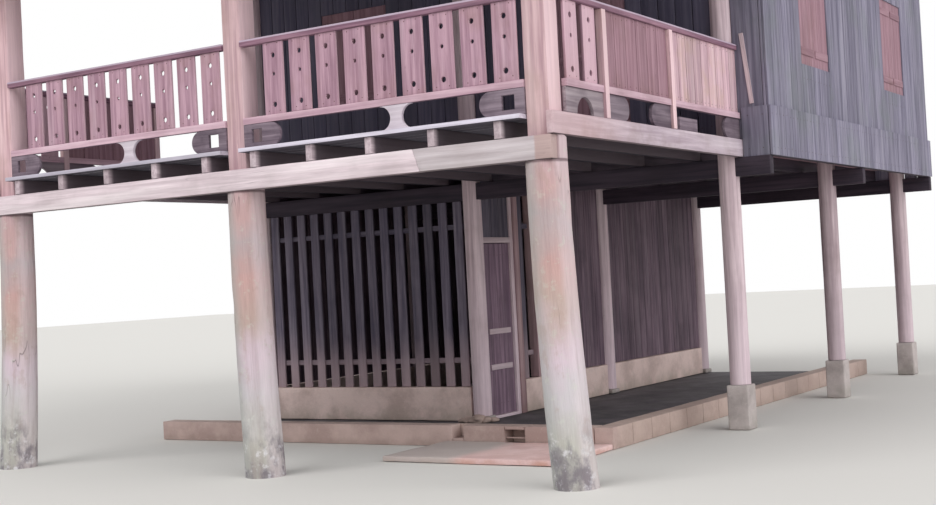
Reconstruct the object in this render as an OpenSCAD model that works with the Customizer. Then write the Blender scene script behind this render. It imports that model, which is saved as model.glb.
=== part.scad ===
// Timber stilt house with a roofed verandah in front of the raised rooms.
// The corner post stands at the front right. X runs along the front, Y to the back, Z up.

/* [Post grid] */
// Distance between the posts along the front
bay = 2900; // [2800:50:3200]
// Distance from the front posts to the second row
verandah_depth = 3600; // [3550:50:4000]
// Distance between the post rows under the rooms
room_bay = 3000; // [2800:50:3300]
// How far the rooms stand out past the posts at each side
jetty = 430; // [380:10:480]

/* [Posts] */
// Radius of a front trunk just under its shoulder
trunk_top_r = 159; // [150:1:168]
// Radius of a front trunk at the ground
trunk_foot_r = 172; // [165:1:190]
// How far the foot of a trunk sweeps sideways from its head
trunk_sweep = 90; // [0:5:120]
// Side of the squared upper part of a front post
square_side = 200; // [180:2:210]
// Radius of the round posts behind the front row
post_r = 100; // [90:1:105]
// Side of the tall footing blocks under the right-hand posts
footing_side = 220; // [200:5:260]
// Height of the tall footing blocks
footing_h = 430; // [300:10:480]
// Side of the low pads under the posts on the plinth
pad_side = 210; // [190:2:214]
// Thickness of the low pads
pad_h = 60; // [40:5:80]

/* [Floor frame] */
// Height of the underside of the girders
girder_bottom = 2400; // [2300:20:2600]
// Height of a girder
girder_h = 180; // [160:5:200]
// Thickness of a girder
girder_t = 100; // [80:2:110]
// How far in front of the post centres the front beam stands
beam_front = 165; // [160:1:175]
// Distance of the front beam's scarf joint from the corner post
scarf_x = 1080; // [800:20:1500]
// How far the scarf's slanted cut runs along the beam
scarf_run = 60; // [20:5:200]
// Width of a joist
joist_w = 65; // [50:1:80]
// Height of a joist
joist_h = 135; // [120:5:160]
// Distance between joists
joist_pitch = 590; // [560:5:620]
// Distance of the first joist from a post's centre
joist_start = 310; // [240:5:340]
// Thickness of the edge joists
edge_joist_t = 60; // [40:1:64]
// Thickness of the floor boards
floor_t = 35; // [25:1:40]
// How far the floor boards stand out past the joist ends
floor_nose = 25; // [10:1:40]

/* [Balustrade] */
// Height of the open band under the bottom rail
band_h = 195; // [160:5:220]
// Height of the bottom rail
bottom_rail_h = 60; // [50:1:70]
// Height of the pierced boards
panel_h = 595; // [500:5:650]
// Height of the top rail
top_rail_h = 55; // [40:1:70]
// Width of the top rail
top_rail_w = 70; // [60:1:80]
// Width of the bottom rail
bottom_rail_w = 50; // [40:1:60]
// Thickness of the pierced boards and planks
panel_t = 22; // [16:1:28]
// Width of a pierced board
board_w = 205; // [180:1:215]
// Gap between a post and the first pierced board
board_start = 45; // [20:1:60]
// Gap between the last pierced board and the next post
board_end = 242; // [150:1:260]
// Pierced boards in a bay
board_count = 9; // [6:1:9]
// Radius of the upper hole of a board
top_hole_r = 21.5; // [15:0.5:30]
// Radius of the middle hole of a board
middle_hole_r = 16; // [10:0.5:25]
// Radius of the lower hole of a board
low_hole_r = 22.5; // [15:0.5:30]
// Thickness of the ornaments in the open band
ornament_t = 30; // [20:1:40]
// Width of the hourglass ornament at its ends
hourglass_w = 300; // [260:5:340]
// Width of the hourglass ornament at its neck
hourglass_neck = 100; // [60:5:140]
// Distance of the hourglass from the post's centre
hourglass_x = 1250; // [1100:10:1450]
// Length of the half ornament beside a post
half_w = 390; // [300:10:460]
// Side of the square cut-out in a half ornament
half_cut = 110; // [60:5:120]
// Width of the small posts in the side balustrade
bay_post_w = 70; // [60:1:80]
// Distance of the first small post from the front
bay_post_near = 750; // [700:10:800]
// Distance of the second small post from the front
bay_post_far = 2030; // [1950:10:2100]

/* [Rooms] */
// Thickness of the timber walls
wall_t = 50; // [40:1:60]
// Height of the walls from the floor to the plate
wall_h = 2900; // [2700:20:3100]
// Height of the apron boards above the joists' underside
apron_h = 470; // [400:10:500]
// Thickness of the apron boards
apron_t = 25; // [18:1:30]
// Width of the upper door and the windows
opening_w = 900; // [800:10:1000]
// Height of the upper door
door_h = 2000; // [1900:10:2100]
// Height of the window sills above the floor
sill_h = 800; // [700:10:900]
// Height of the windows
window_h = 1100; // [1000:10:1200]
// Thickness of the door leaves and shutters
leaf_t = 30; // [24:1:36]

/* [Ground storey] */
// Thickness of the floor slab under the rooms
plinth_h = 50; // [40:5:80]
// Height of the kerb of hollow blocks round the slab
kerb_h = 200; // [160:5:240]
// Width of the kerb
kerb_w = 190; // [150:5:220]
// Distance of the kerb's right edge from the corner post
plinth_right = 580; // [500:10:650]
// Distance of the kerb's front edge from the front posts
plinth_front = 2000; // [1900:50:2300]
// Height of the step in front of the kerb
step_h = 60; // [40:5:80]
// Depth of the step
step_depth = 1050; // [800:50:1200]
// Length of the step
step_len = 1750; // [1000:50:2500]
// Height of the masonry dado above the slab
dado_h = 370; // [300:10:420]
// Thickness of the masonry dado
dado_t = 120; // [100:5:140]
// Width of a slat
slat_w = 110; // [80:1:120]
// Distance between slats
slat_pitch = 195; // [150:1:220]
// Thickness of a slat and of the rail behind it
slat_t = 25; // [18:1:30]
// Thickness of the ground room's board walls
board_wall_t = 40; // [30:1:50]
// Side of the studs in the ground room's right wall
stud_side = 110; // [90:2:120]
// Width of the open stretch between the two studs
open_w = 300; // [260:10:400]
// Width of the ground door's leaf
leaf_w = 560; // [500:5:580]
// Height of the ground door's leaf
leaf_h = 1850; // [1700:5:1900]
// Radius of the leaf's wooden pivots
pivot_r = 12; // [10:0.5:13]
// Running gap round and under the pivots
pivot_gap = 0.3; // [0.2:0.05:0.4]
// Thickness of the door's sill
sill_t = 30; // [28:1:40]
// Height of the door's head piece
head_t = 60; // [50:1:80]

/* [Roof] */
// Slope of the main roof in degrees
main_pitch = 35; // [30:1:40]
// Slope of the verandah roof in degrees
verandah_pitch = 13; // [10:0.5:14]
// Side of the wall plates and tie beams
plate_side = 100; // [90:2:110]
// Height of the front plate over the front posts
front_plate_h = 120; // [100:2:140]
// How deep a rafter is cut over its plate
rafter_seat = 40; // [20:1:50]
// Depth of a main rafter
rafter_d = 100; // [90:2:120]
// Width of a rafter
rafter_w = 50; // [40:1:60]
// Depth of a verandah rafter
small_rafter_d = 90; // [80:2:100]
// Distance between rafters
rafter_pitch = 725; // [600:5:800]
// Thickness of the main roof covering
cover_t = 70; // [60:1:80]
// Thickness of the verandah roof covering
small_cover_t = 60; // [50:1:70]
// Height of the ledger under the plate
ledger_drop = 170; // [160:1:190]
// Thickness of the ledger on the second row of posts
ledger_t = 50; // [40:1:60]
// Overhang in front of the front posts
front_overhang = 600; // [450:10:700]
// Overhang behind the last posts
back_overhang = 750; // [650:10:850]
// Overhang past the gable walls
gable_overhang = 450; // [350:10:550]
// Thickness of the ridge board
ridge_t = 60; // [50:1:70]
// Height of the ridge board
ridge_h = 200; // [180:2:220]
// Thickness of the barge boards
barge_t = 30; // [22:1:36]
// Depth of the barge boards
barge_d = 190; // [160:5:220]
// Half the width of the ridge cap
cap_w = 190; // [150:5:230]
// Thickness of the ridge cap
cap_t = 35; // [25:1:45]

/* [Hidden] */
bays = 2;
trunk_sides = 24;
trunk_rings = 14;
fine = 48;
ornament_lip = 4;
far = 20000;

post_x = [for (i = [0:bays]) -i * bay];
left_x = -bays * bay;
row_y = [0, verandah_depth, verandah_depth + room_bay, verandah_depth + 2 * room_bay];
front_y = row_y[1];
ridge_y = row_y[2];
back_y = row_y[3];
body_right = jetty;
body_left = left_x - jetty;

girder_top = girder_bottom + girder_h;
joist_top = girder_top + joist_h;
floor_top = joist_top + floor_t;
band_top = floor_top + band_h;
panel_bottom = band_top + bottom_rail_h;
panel_top = panel_bottom + panel_h;
half_square = square_side / 2;
notch_back = beam_front - girder_t;
edge_out = half_square + edge_joist_t;
// The front beam's ends stop short of the edge joists, and the rafters of the gable walls.
beam_end_inset = 30;
rafter_clear = 30;
// Faces on a slope rest this far apart.
seat_gap = 0.3;

// How far each piece of the balustrade stands out past the squared posts
side_rail_out = 50;
bottom_rail_out = 15;
panel_out = 5;
ornament_out = 10;
rail_front = half_square + 2 * ornament_out;
panel_front = half_square + panel_out;
board_pitch = (bay - square_side - board_start - board_w - board_end) / (board_count - 1);
side_board_pitch = board_pitch + 20;
wall_top = floor_top + wall_h;
plate_top = wall_top + plate_side;
main_slope = tan(main_pitch);
rafter_v = rafter_d / cos(main_pitch);
cover_v = cover_t / cos(main_pitch);
small_slope = tan(verandah_pitch);
small_rafter_v = small_rafter_d / cos(verandah_pitch);
small_cover_v = small_cover_t / cos(verandah_pitch);
ledger_top = plate_top - ledger_drop;
ledger_back = front_y - post_r;
ledger_mid = ledger_back - ledger_t / 2;
roof_lap = 70;
lap_y = ledger_back - roof_lap;
roof_right = body_right + gable_overhang;
roof_left = body_left - gable_overhang;
roof_len = roof_right - roof_left;
eave_front = -front_overhang;
eave_back = back_y + back_overhang;
shift_x = bays * bay / 2;
shift_y = -(eave_front + eave_back) / 2;

dado_top = plinth_h + dado_h;
half_pad = pad_side / 2;
half_dado = dado_t / 2;

// Places along the ground room's right wall, counted from the middle post's centre
post_clear = 20;
closing_clear = 7;
foot_clear = 5;
head_clear = 8;
jamb_w = 60;
frame_depth = 80;
leaf_start = post_r + post_clear;
leaf_end = leaf_start + leaf_w;
frame_start = leaf_start - foot_clear;
jamb_start = leaf_end + closing_clear;
jamb_end = jamb_start + jamb_w;
open_start = jamb_end + stud_side;
open_end = open_start + open_w;
boards_start = open_end + stud_side;

// Walls between girders run up to the floor boards.
side_wall_top = joist_top;
sill_top = plinth_h + sill_t;
leaf_bottom = sill_top + foot_clear;
leaf_top = leaf_bottom + leaf_h;
head_bottom = leaf_top + head_clear;
head_top = head_bottom + head_t;
pivot_inset = 25;
pivot_at = leaf_start + pivot_inset;
pivot_depth = 15;
plinth_past_left = 200;
plinth_past_back = 150;
plinth_left = left_x - plinth_past_left;
plinth_back = back_y + plinth_past_back;

function main_under(y) = plate_top - rafter_seat
    + main_slope * (min(y, 2 * ridge_y - y) - front_y);
function rafter_over(y) = main_under(y) + rafter_v;
function cover_under(y) = rafter_over(y) + seat_gap;
function cover_over(y) = cover_under(y) + cover_v;
function small_under(y) = ledger_top - rafter_seat / 2 + small_slope * (y - ledger_mid);
function small_rafter_over(y) = small_under(y) + small_rafter_v;
function small_cover_under(y) = small_rafter_over(y) + seat_gap;
function small_over(y) = small_cover_under(y) + small_cover_v;
front_plate_top = small_under(0) + rafter_seat / 2;
ridge_bottom = rafter_over(ridge_y) - ridge_h;

module placed() {
    translate([shift_x, shift_y, 0])
        children();
}

module mirrored_x() {
    translate([left_x, 0, 0])
        mirror([1, 0, 0])
            children();
}

module box(low, high) {
    translate(low)
        cube(high - low);
}

// A (y, z) outline drawn out along X
module side_profile(x, length) {
    translate([x, 0, 0])
        rotate([90, 0, 90])
            linear_extrude(length)
                children();
}

// An (x, z) outline drawn out along Y
module front_profile(y, depth) {
    translate([0, y + depth, 0])
        rotate([90, 0, 0])
            linear_extrude(depth)
                children();
}

// Trunks
// The foot sweeps out along a parabola, so the upper half stays nearly straight.
function sweep_at(t, reach) = reach * pow(1 - t, 2.2);
function trunk_r(t) = trunk_foot_r + (trunk_top_r - trunk_foot_r) * pow(t, 0.8);
function lobe(a, t) = 1 + 0.012 * sin(3 * a + 200 * t) + 0.01 * sin(2 * a - 130 * t);
function trunk_ring(t, reach) = [for (k = [0:trunk_sides - 1])
    let (a = 360 * k / trunk_sides, r = trunk_r(t) * lobe(a, t))
    [sweep_at(t, reach) * 0.85 + r * cos(a), sweep_at(t, reach) * 0.5 + r * sin(a),
        girder_top * t]];

module trunk(reach) {
    points = [for (i = [0:trunk_rings]) each trunk_ring(i / trunk_rings, reach)];
    walls = [for (i = [0:trunk_rings - 1], k = [0:trunk_sides - 1])
        let (n = (k + 1) % trunk_sides, a = i * trunk_sides, b = a + trunk_sides)
        each [[a + k, b + n, a + n], [a + k, b + k, b + n]]];
    foot = [for (k = [0:trunk_sides - 1]) k];
    head = [for (k = [trunk_sides - 1:-1:0]) trunk_rings * trunk_sides + k];
    polyhedron(points, concat([foot], walls, [head]));
}

module front_post(reach) {
    difference() {
        trunk(reach);
        box([-far, -far, girder_bottom], [far, -notch_back, far]);
    }
    box([-half_square, -half_square, girder_top],
        [half_square, half_square, front_plate_top - front_plate_h]);
}

module corner_post() {
    color("rosybrown") placed()
        front_post(trunk_sweep);
}

module front_posts() {
    color("rosybrown") placed()
        for (i = [1:bays])
            translate([post_x[i], 0, 0])
                front_post(i == bays ? -trunk_sweep : trunk_sweep / 2);
}

// Girders run through the round posts, so each post is cut for them.
module girder_space() {
    for (r = [1:3])
        box([body_left, row_y[r] - girder_t / 2, girder_bottom],
            [body_right, row_y[r] + girder_t / 2, girder_top]);
}

module round_posts(radius) {
    for (r = [1:3], i = [0:bays])
        translate([post_x[i], row_y[r], i == 0 ? footing_h : plinth_h + pad_h])
            cylinder(h = wall_top - plate_side - (i == 0 ? footing_h : plinth_h + pad_h),
                r = radius, $fn = fine);
}

module body_posts() {
    color("tan") placed()
        difference() {
            round_posts(post_r);
            girder_space();
        }
}

module post_footings() {
    color("gainsboro") placed() {
        for (r = [1:3]) {
            translate([-footing_side / 2, row_y[r] - footing_side / 2, 0])
                cube([footing_side, footing_side, footing_h]);
            for (i = [1:bays])
                translate([post_x[i] - pad_side / 2, row_y[r] - pad_side / 2, plinth_h])
                    cube([pad_side, pad_side, pad_h]);
        }
    }
}

module plinth() {
    color("rosybrown") placed() {
        box([plinth_left, plinth_front + kerb_w, 0],
            [-plinth_right - kerb_w, plinth_back, plinth_h]);
        box([-plinth_right - step_len, plinth_front - step_depth, 0],
            [-plinth_right, plinth_front, step_h]);
    }
}

module plinth_kerb() {
    color("mistyrose") placed()
        linear_extrude(kerb_h)
            polygon([[plinth_left, plinth_front], [-plinth_right, plinth_front],
                [-plinth_right, plinth_back], [-plinth_right - kerb_w, plinth_back],
                [-plinth_right - kerb_w, plinth_front + kerb_w],
                [plinth_left, plinth_front + kerb_w]]);
}

// The slanted end faces of the two halves of the front beam meet at the scarf.
module front_beam_near() {
    color("snow") placed()
        front_profile(-beam_front, girder_t)
            polygon([[-scarf_x + scarf_run, girder_bottom], [edge_out - beam_end_inset, girder_bottom],
                [edge_out - beam_end_inset, girder_top], [-scarf_x, girder_top]]);
}

module front_beam_far() {
    color("seashell") placed()
        front_profile(-beam_front, girder_t)
            polygon([[left_x - edge_out + beam_end_inset, girder_bottom],
                [-scarf_x + scarf_run, girder_bottom], [-scarf_x, girder_top],
                [left_x - edge_out + beam_end_inset, girder_top]]);
}

module cross_beams() {
    color("peru") placed()
        girder_space();
}

// Joists stand clear of the posts at both ends of each bay.
joist_count = floor((bay - 2 * joist_start + joist_pitch / 2) / joist_pitch) + 1;

module joist_row(y0, y1) {
    for (i = [0:bays - 1], k = [0:joist_count - 1])
        translate([post_x[i] - joist_start - k * joist_pitch - joist_w / 2, y0, girder_top])
            cube([joist_w, y1 - y0, joist_h]);
}

module verandah_joists() {
    color("linen") placed()
        joist_row(-beam_front, front_y);
}

module body_joists() {
    color("peru") placed() {
        joist_row(front_y, back_y);
        box([body_right - joist_w, front_y, girder_top], [body_right, back_y, joist_top]);
        box([body_left, front_y, girder_top], [body_left + joist_w, back_y, joist_top]);
    }
}

module right_edge_joist() {
    box([half_square, -beam_front, girder_top], [edge_out, front_y, floor_top]);
}

module edge_joists() {
    color("linen") placed() {
        right_edge_joist();
        mirrored_x() right_edge_joist();
    }
}

module verandah_floor() {
    color("snow") placed()
        difference() {
            box([left_x - half_square, -beam_front - floor_nose, joist_top],
                [half_square, front_y, floor_top]);
            for (x = post_x)
                box([x - half_square, -far, 0], [x + half_square, half_square, far]);
            round_posts(post_r);
        }
}

module body_floor() {
    color("burlywood") placed()
        difference() {
            box([body_left, front_y, joist_top], [body_right, back_y, floor_top]);
            round_posts(post_r);
        }
}

// Balustrade
module front_top_rails() {
    color("rosybrown") placed()
        for (i = [0:bays - 1])
            box([post_x[i + 1] + half_square, -rail_front, panel_top],
                [post_x[i] - half_square, -rail_front + top_rail_w, panel_top + top_rail_h]);
}

module right_top_rail(end_y) {
    outer = half_square + side_rail_out;
    box([outer - top_rail_w, half_square, panel_top], [outer, end_y, panel_top + top_rail_h]);
}

module side_top_rails() {
    color("rosybrown") placed() {
        difference() {
            right_top_rail(front_y);
            round_posts(post_r);
        }
        mirrored_x() right_top_rail(bay_post_far + bay_post_w / 2);
    }
}

bay_posts = [bay_post_near, bay_post_far];
side_left = [half_square, bay_post_near + bay_post_w / 2, bay_post_far + bay_post_w / 2];
side_right = [bay_post_near - bay_post_w / 2, bay_post_far - bay_post_w / 2, front_y];

bottom_rail_y = -half_square - bottom_rail_out;

module right_bottom_rail(k) {
    box([half_square, side_left[k], band_top],
        [half_square + bottom_rail_w, side_right[k], panel_bottom]);
}

module bottom_rails() {
    color("rosybrown") placed() {
        for (i = [0:bays - 1])
            box([post_x[i + 1] + half_square, bottom_rail_y, band_top],
                [post_x[i] - half_square, bottom_rail_y + bottom_rail_w, panel_bottom]);
        for (k = [0:2]) right_bottom_rail(k);
        mirrored_x() for (k = [0:1]) right_bottom_rail(k);
    }
}

module right_bay_posts() {
    for (y = bay_posts)
        box([half_square, y - bay_post_w / 2, floor_top],
            [edge_out, y + bay_post_w / 2, panel_top]);
}

module side_bay_posts() {
    color("tan") placed() {
        right_bay_posts();
        mirrored_x() right_bay_posts();
    }
}

// Each hole's depth under the board's top, as a share of its height, and its radius
holes = [[0.18, top_hole_r], [0.44, middle_hole_r], [0.865, low_hole_r]];

// One upright pierced board, its lower left corner at the origin
module pierced_board() {
    difference() {
        cube([board_w, panel_t, panel_h]);
        for (hole = holes)
            translate([board_w / 2, -panel_t, panel_h * (1 - hole[0])])
                rotate([-90, 0, 0])
                    cylinder(h = 3 * panel_t, r = hole[1], $fn = fine);
    }
}

module front_boards() {
    color("thistle") placed()
        for (i = [0:bays - 1], k = [0:board_count - 1])
            translate([post_x[i] - half_square - board_start - board_w - k * board_pitch,
                -panel_front, panel_bottom])
                pierced_board();
}

plank_gap = 6;

// Planks that fill a stretch of the side, all of one width
module plank_run(y0, y1) {
    count = max(1, round((y1 - y0) / board_w));
    pitch = (y1 - y0) / count;
    for (k = [0:count - 1])
        box([panel_front, y0 + k * pitch + plank_gap / 2, panel_bottom],
            [panel_front + panel_t, y0 + (k + 1) * pitch - plank_gap / 2, panel_top]);
}

module right_pierced_boards() {
    for (k = [0:1])
        translate([panel_front + panel_t, half_square + board_start + k * side_board_pitch,
            panel_bottom])
            rotate([0, 0, 90])
                pierced_board();
}

module side_boards() {
    color("thistle") placed() {
        right_pierced_boards();
        plank_run(side_left[1], side_right[1]);
        plank_run(side_left[2], side_right[2]);
        mirrored_x() {
            right_pierced_boards();
            plank_run(side_left[1], side_right[1]);
        }
    }
}

// Ornaments of the open band, drawn as outlines from the floor up
module hourglass_outline() {
    difference() {
        translate([-hourglass_w / 2, 0])
            square([hourglass_w, band_h]);
        for (side = [-1, 1])
            translate([side * (hourglass_neck + band_h) / 2, band_h / 2])
                circle(r = band_h / 2 - ornament_lip, $fn = fine);
    }
}

// Half ornament with a round end and a square cut-out, its flat end at the origin
module half_outline(length, cut) {
    difference() {
        union() {
            translate([-length + band_h / 2, 0])
                square([length - band_h / 2, band_h]);
            translate([-length + band_h / 2, band_h / 2])
                circle(r = band_h / 2, $fn = fine);
        }
        if (cut > 0)
            translate([-length / 2, (band_h - cut) / 2])
                square([cut, cut]);
    }
}

module arch_outline(length) {
    difference() {
        square([length, band_h]);
        translate([length / 2, 0])
            circle(r = band_h * 0.7, $fn = fine);
    }
}

module front_ornaments() {
    for (i = [0:bays - 1])
        front_profile(-half_square - ornament_out, ornament_t) {
            translate([post_x[i] - hourglass_x, floor_top]) hourglass_outline();
            translate([post_x[i] - half_square, floor_top]) half_outline(half_w, half_cut);
            translate([post_x[i + 1] + half_square, floor_top])
                mirror([1, 0]) half_outline(half_w, half_cut);
        }
}

module right_ornaments(side_bays) {
    side_profile(panel_front, ornament_t) {
        translate([side_left[0], floor_top]) arch_outline(side_right[0] - side_left[0]);
        translate([side_left[1], floor_top]) mirror([1, 0]) half_outline(half_w, 0);
        translate([side_right[1], floor_top]) half_outline(half_w, 0);
        if (side_bays > 2) {
            translate([side_left[2] + half_cut, floor_top]) square([half_w, band_h * 0.6]);
            translate([side_right[2], floor_top]) half_outline(half_w, 0);
        }
    }
}

module band_ornaments() {
    color("lavenderblush") placed() {
        front_ornaments();
        right_ornaments(3);
        mirrored_x() right_ornaments(2);
    }
}

// Rooms
front_door_x = -bay / 2;
front_window_x = -bay * 1.5;
side_window_y = [front_y + room_bay / 2, back_y - room_bay / 2];
back_window_x = [-bay / 2, -bay * 1.5];
window_bottom = floor_top + sill_h;

module front_wall_openings() {
    box([front_door_x - opening_w / 2, 0, floor_top],
        [front_door_x + opening_w / 2, far, floor_top + door_h]);
    box([front_window_x - opening_w / 2, 0, window_bottom],
        [front_window_x + opening_w / 2, far, window_bottom + window_h]);
}

module front_wall() {
    color("dimgray") placed()
        difference() {
            box([body_left + wall_t, front_y, floor_top], [body_right - wall_t,
                front_y + wall_t, wall_top]);
            front_wall_openings();
            round_posts(post_r);
            tie_space();
        }
}

module back_wall() {
    color("gray") placed()
        difference() {
            box([body_left + wall_t, back_y - wall_t, floor_top], [body_right - wall_t,
                back_y, wall_top]);
            for (x = back_window_x)
                box([x - opening_w / 2, 0, window_bottom],
                    [x + opening_w / 2, far, window_bottom + window_h]);
            round_posts(post_r);
            tie_space();
        }
}

module side_wall() {
    difference() {
        box([body_right - wall_t, front_y, floor_top], [body_right, back_y, wall_top]);
        for (y = side_window_y)
            box([-far, y - opening_w / 2, window_bottom],
                [far, y + opening_w / 2, window_bottom + window_h]);
    }
}

module right_wall() {
    color("gray") placed()
        side_wall();
}

module left_wall() {
    color("gray") placed()
        mirrored_x() side_wall();
}

// One outline with notches for the plates and the ridge board
module gable() {
    half_plate = plate_side / 2;
    near_ridge = ridge_y - ridge_t / 2;
    far_ridge = ridge_y + ridge_t / 2;
    side_profile(body_right - wall_t, wall_t)
        polygon([[front_y + half_plate, wall_top], [front_y + half_plate, plate_top],
            [front_y, plate_top], [front_y, rafter_over(front_y)],
            [near_ridge, rafter_over(near_ridge)], [near_ridge, ridge_bottom],
            [far_ridge, ridge_bottom], [far_ridge, rafter_over(far_ridge)],
            [back_y, rafter_over(back_y)], [back_y, plate_top],
            [back_y - half_plate, plate_top], [back_y - half_plate, wall_top]]);
}

module gables() {
    color("dimgray") placed() {
        gable();
        mirrored_x() gable();
    }
}

// Apron boards hang over the joist ends and the foot of the walls.
module right_apron() {
    box([body_right, front_y - apron_t, girder_top],
        [body_right + apron_t, back_y + apron_t, girder_top + apron_h]);
    box([edge_out + board_joint, front_y - apron_t, girder_top],
        [body_right - board_joint, front_y, girder_top + apron_h]);
}

module apron_boards() {
    color("dimgray") placed() {
        right_apron();
        mirrored_x() right_apron();
        difference() {
            box([body_left + board_joint, back_y, girder_top], [body_right - board_joint,
                back_y + apron_t, girder_top + apron_h]);
            for (x = post_x)
                box([x - post_r, back_y - far, 0], [x + post_r, back_y + far, far]);
        }
    }
}

leaf_gap = 4;
leaf_set = 5;
board_joint = 2;

// A pair of leaves that fills an opening in a wall along the front
module front_leaves(x, y, low, high) {
    for (side = [-1, 1])
        translate([x + (side < 0 ? -opening_w / 2 : leaf_gap / 2), y, low])
            cube([(opening_w - leaf_gap) / 2, leaf_t, high - low]);
}

module side_leaves(y) {
    for (side = [-1, 1])
        translate([body_right - wall_t + leaf_set, y + (side < 0 ? -opening_w / 2 : leaf_gap / 2),
            window_bottom])
            cube([leaf_t, (opening_w - leaf_gap) / 2, window_h]);
}

module upper_door() {
    color("saddlebrown") placed()
        front_leaves(front_door_x, front_y + leaf_set, floor_top, floor_top + door_h);
}

module window_shutters() {
    color("saddlebrown") placed() {
        front_leaves(front_window_x, front_y + leaf_set, window_bottom, window_bottom + window_h);
        for (x = back_window_x)
            front_leaves(x, back_y - wall_t + leaf_set, window_bottom, window_bottom + window_h);
        for (y = side_window_y) {
            side_leaves(y);
            mirrored_x() side_leaves(y);
        }
    }
}

// Ground storey
// The room under the left bay. Its right wall runs back from the middle post.
module in_right_wall() {
    translate([-bay, front_y, 0])
        rotate([0, 0, 90])
            children();
}

module dado_x(x0, x1, y) {
    box([x0, y - half_dado, plinth_h], [x1, y + half_dado, dado_top]);
}

module dado_y(x, y0, y1) {
    box([x - half_dado, y0, plinth_h], [x + half_dado, y1, dado_top]);
}

module dado_walls() {
    color("dimgray") placed() {
        dado_x(left_x + half_pad, -bay - half_pad, front_y);
        dado_x(left_x + half_pad, -bay - half_pad, back_y);
        dado_y(-bay, front_y + open_start, ridge_y - half_pad);
        dado_y(left_x, front_y + half_pad, ridge_y - half_pad);
        for (x = [left_x, -bay])
            dado_y(x, ridge_y + half_pad, back_y - half_pad);
    }
}

slat_rail_h = 60;
slat_rail_low = 250;
slat_rail_high = 300;
slat_gap = 25;

module slat(start, top) {
    box([start, -slat_t, dado_top], [start + slat_w, 0, top]);
}

module slat_rails(x0, x1) {
    for (z = [dado_top + slat_rail_low, girder_bottom - slat_rail_high])
        box([x0, 0, z], [x1, slat_t, z + slat_rail_h]);
}

// Upright slats nailed to the front of two rails
module slat_panel(x0, x1) {
    count = floor((x1 - x0 - slat_w) / slat_pitch);
    first = x0 + (x1 - x0 - slat_w - count * slat_pitch) / 2;
    for (k = [0:count])
        slat(first + k * slat_pitch, girder_bottom);
    slat_rails(x0, x1);
}

module slat_walls() {
    color("dimgray") placed() {
        translate([0, front_y, 0])
            slat_panel(left_x + post_r, -bay - post_r);
        in_right_wall() {
            slat(open_start + slat_gap, side_wall_top);
            slat_rails(open_start, open_end);
            box([post_r, -slat_t, head_top], [jamb_start, 0, side_wall_top]);
        }
    }
}

module boards_y(x, y0, y1) {
    box([x - board_wall_t / 2, y0, dado_top], [x + board_wall_t / 2, y1, side_wall_top]);
}

module lower_board_walls() {
    color("sienna") placed()
        difference() {
            union() {
                boards_y(left_x, front_y + post_r, ridge_y - post_r);
                boards_y(-bay, front_y + boards_start, ridge_y - post_r);
                for (x = [left_x, -bay])
                    boards_y(x, ridge_y + post_r, back_y - post_r);
                box([left_x + post_r, back_y - board_wall_t / 2, dado_top],
                    [-bay - post_r, back_y + board_wall_t / 2, girder_bottom]);
            }
            round_posts(post_r);
        }
}

// One stud takes the door's jamb, and the other the edge of the boards.
module wall_studs() {
    color("tan") placed()
        in_right_wall() {
            box([jamb_end, -stud_side / 2, plinth_h],
                [open_start, stud_side / 2, side_wall_top]);
            box([open_end, -stud_side / 2, dado_top],
                [boards_start, stud_side / 2, side_wall_top]);
        }
}

// Sill, closing jamb and head of the ground door, bored for the leaf's pivots
module door_frame() {
    half = frame_depth / 2;
    color("tan") placed()
        in_right_wall()
            difference() {
                union() {
                    box([frame_start, -half, plinth_h], [jamb_start, half, sill_top]);
                    box([jamb_start, -half, plinth_h], [jamb_end, half, side_wall_top]);
                    box([frame_start, -half, head_bottom], [jamb_start, half, head_top]);
                }
                translate([pivot_at, 0, sill_top - pivot_depth])
                    cylinder(h = sill_t, r = pivot_r + pivot_gap, $fn = fine);
                translate([pivot_at, 0, head_bottom - pivot_depth])
                    cylinder(h = 2 * pivot_depth + foot_clear, r = pivot_r + pivot_gap,
                        $fn = fine);
            }
}

ledge_h = 60;
ledge_t = 18;
ledge_inset = 60;
ledge_z = [570, 955];

// Leaf of boards with two ledges on its outer side and a wooden pivot at each end
module lower_door() {
    color("saddlebrown") placed()
        in_right_wall() {
            translate([leaf_start, -leaf_t / 2, leaf_bottom])
                cube([leaf_w, leaf_t, leaf_h]);
            for (z = ledge_z)
                translate([leaf_start + ledge_inset, -leaf_t / 2 - ledge_t, z])
                    cube([leaf_w - 2 * ledge_inset, ledge_t, ledge_h]);
            translate([pivot_at, 0, sill_top - pivot_depth + pivot_gap])
                cylinder(h = head_bottom - sill_top + 2 * pivot_depth - 2 * pivot_gap,
                    r = pivot_r, $fn = fine);
        }
}

// Roof
module plate_space() {
    for (y = [front_y, back_y])
        box([roof_left, y - plate_side / 2, wall_top], [roof_right, y + plate_side / 2, plate_top]);
}

module ridge_space() {
    near = ridge_y - ridge_t / 2;
    back = ridge_y + ridge_t / 2;
    side_profile(roof_left, roof_len)
        polygon([[near, ridge_bottom], [back, ridge_bottom], [back, rafter_over(back)],
            [ridge_y, rafter_over(ridge_y)], [near, rafter_over(near)]]);
}

module tie_space() {
    for (x = post_x)
        box([x - plate_side / 2, front_y - plate_side / 2, wall_top - plate_side],
            [x + plate_side / 2, back_y + plate_side / 2, wall_top]);
}

module small_plates() {
    box([roof_left, ledger_back - ledger_t, ledger_top - plate_side],
        [roof_right, ledger_back, ledger_top]);
    box([roof_left, -plate_side / 2, front_plate_top - front_plate_h],
        [roof_right, plate_side / 2, front_plate_top]);
}

module roof_plates() {
    color("peru") placed() {
        plate_space();
        small_plates();
    }
}

module tie_beams() {
    color("peru") placed()
        tie_space();
}

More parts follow.
